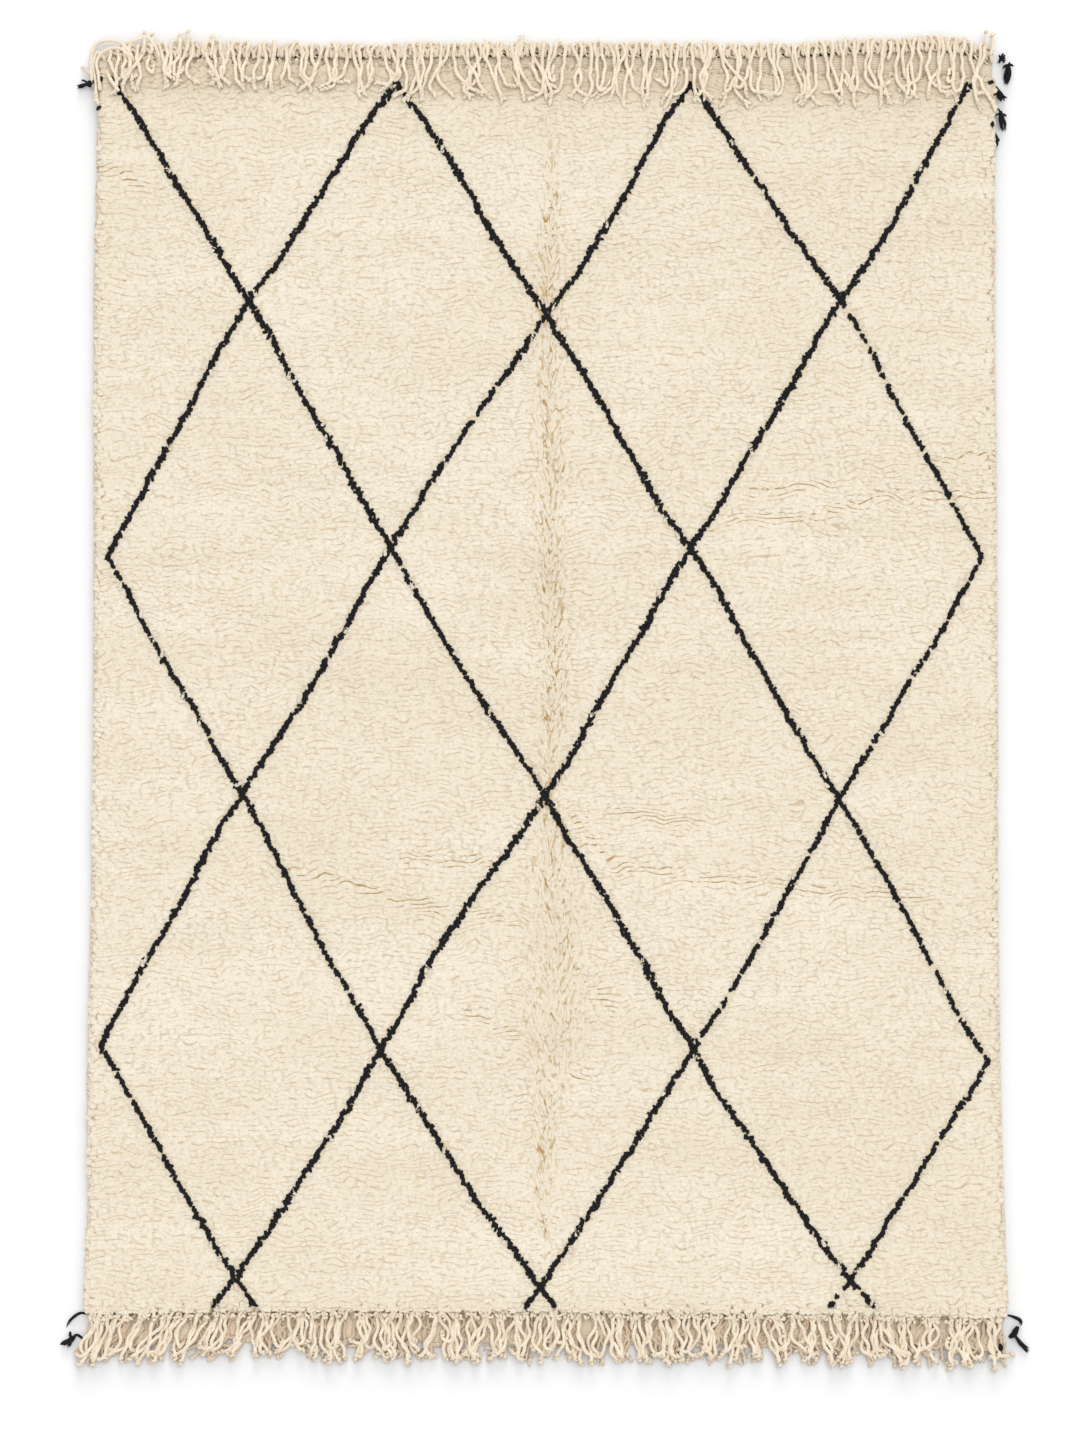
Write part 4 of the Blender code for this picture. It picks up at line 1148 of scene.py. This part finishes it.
def yarn_bundle(chance, thickness, yarns, widening, waypoints):
    """Paths of yarns that run together along one course. Each keeps its own place in the bundle's round
    section, turns slowly about its middle, and ends somewhere in its last third. The section is slim
    at its neck, fullest past its middle, and grows by its widening times the square of the way."""
    t = np.linspace(0.0, 1.0, len(YARN_TAPER)) * chance.uniform(0.68, 1.0, (yarns, 1))
    course = smooth_path(0.001 * np.array([waypoints], dtype=float), COURSE_STOPS)[0]
    way = np.linspace(0.0, 1.0, COURSE_STOPS)
    middle = np.stack([np.interp(t, way, course[:, i]) for i in range(3)], axis=2)
    ahead = np.gradient(middle, axis=1)
    side = np.stack([-ahead[:, :, 1], ahead[:, :, 0]], axis=2) / np.hypot(ahead[:, :, :1], ahead[:, :, 1:2])
    radius = (0.0005 * thickness - YARN) * np.sqrt(chance.uniform(0.0, 1.0, (yarns, 1)))
    angle = chance.uniform(0.0, 2 * math.pi, (yarns, 1)) + 2.0 * t
    radius = radius * (0.25 + 0.75 * np.sin(math.pi * (0.04 + 0.78 * t))) * (1.0 + widening * t**2)
    middle[:, :, :2] += (radius * np.cos(angle))[:, :, None] * side
    middle[:, :, 2] += 0.6 * radius * np.sin(angle)
    middle[:, :, 2] = np.maximum(middle[:, :, 2], 1.2 * YARN)
    return middle


chance = np.random.default_rng(91)
for name, bundles in TASSELS.items():
    paths = np.concatenate([yarn_bundle(chance, *bundle[:3], bundle[3:]) for bundle in bundles])
    radii = YARN * chance.uniform(0.85, 1.2, (len(paths), 1)) * YARN_TAPER
    add_piece(f"{name}_yarns", *strand_mesh(paths, radii, 4), black_wool, "black_wool", name)

selvedge_paths = yarn_bundle(
    chance, 8, 12, 0.6, ((-850, 1180, 8), (-858, 1186, 8), (-868, 1193, 6), (-880, 1199, 4))
)
selvedge_radii = YARN * YARN_TAPER * np.ones((len(selvedge_paths), 1))
selvedge_points, selvedge_faces = strand_mesh(selvedge_paths, selvedge_radii, 4)
selvedge_end = add_piece(
    "selvedge_end_yarns", selvedge_points, selvedge_faces, cord_wool, "warp_yarn", "selvedge_end_left",
    tone=np.full(len(selvedge_points), 0.9),
)

# ----------------------------------------------------------
# Stage: a plain white floor, a broad soft light from the head end and a camera straight above.

PIXEL = 0.00189  # metres on the floor for one pixel of a 1088 x 1445 frame
VIEW_CENTRE = (-0.0028, -0.0397)
LENS, SENSOR = 80.0, 36.0
CAMERA_HEIGHT = LENS / SENSOR * 1445 * PIXEL
FLOOR_HALF, FLOOR_HEIGHT = 9, -0.0002  # just clear of the rug's underside

floor_mesh = bpy.data.meshes.new("floor")
corner_signs = ((-1, -1), (1, -1), (1, 1), (-1, 1))
floor_corners = [(x * FLOOR_HALF, y * FLOOR_HALF, FLOOR_HEIGHT) for x, y in corner_signs]
floor_mesh.from_pydata(floor_corners, [], [(0, 1, 2, 3)])
floor = bpy.data.objects.new("floor", floor_mesh)
bpy.context.scene.collection.objects.link(floor)
floor_paint = bpy.data.materials.new("white_floor_paint")
floor_paint.use_nodes = True
floor_shader = floor_paint.node_tree.nodes["Principled BSDF"]
floor_shader.inputs["Base Color"].default_value = linear("#DBDBDB")
floor_shader.inputs["Roughness"].default_value = 0.8
floor_shader.inputs["Specular IOR Level"].default_value = 0.15
floor_mesh.materials.append(floor_paint)

world = bpy.data.worlds.new("studio")
world.use_nodes = True
world.node_tree.nodes["Background"].inputs["Color"].default_value = (1.0, 1.0, 1.0, 1.0)
world.node_tree.nodes["Background"].inputs["Strength"].default_value = 0.95
bpy.context.scene.world = world


def window(name, energy, degrees, aim):
    """A sun lamp as wide as a window that fills so many degrees of the view, shining toward aim."""
    lamp_data = bpy.data.lights.new(name, "SUN")
    lamp_data.energy = energy
    lamp_data.angle = math.radians(degrees)
    lamp = bpy.data.objects.new(name, lamp_data)
    lamp.rotation_euler = Vector(aim).to_track_quat("-Z", "Y").to_euler()
    bpy.context.scene.collection.objects.link(lamp)
    return lamp


window("window_light", 1.05, 50, (-0.25, -0.80, -1.05))
# A far window behind the head end, low enough to draw a long faint shadow on the floor at the foot. It
# is kept off the rug itself, which the photograph lights softly.
low_lamp = window("far_window", 5.0, 38, (-0.03, -1.0, -0.14))
floor_only = bpy.data.collections.new("floor_only")
floor_only.objects.link(floor)
low_lamp.light_linking.receiver_collection = floor_only

camera = bpy.data.cameras.new("camera")
camera.lens = LENS
camera.sensor_width = SENSOR
camera_object = bpy.data.objects.new("camera", camera)
camera_object.location = (*VIEW_CENTRE, CAMERA_HEIGHT)
bpy.context.scene.collection.objects.link(camera_object)
bpy.context.scene.camera = camera_object
bpy.context.scene.view_settings.view_transform = "Standard"
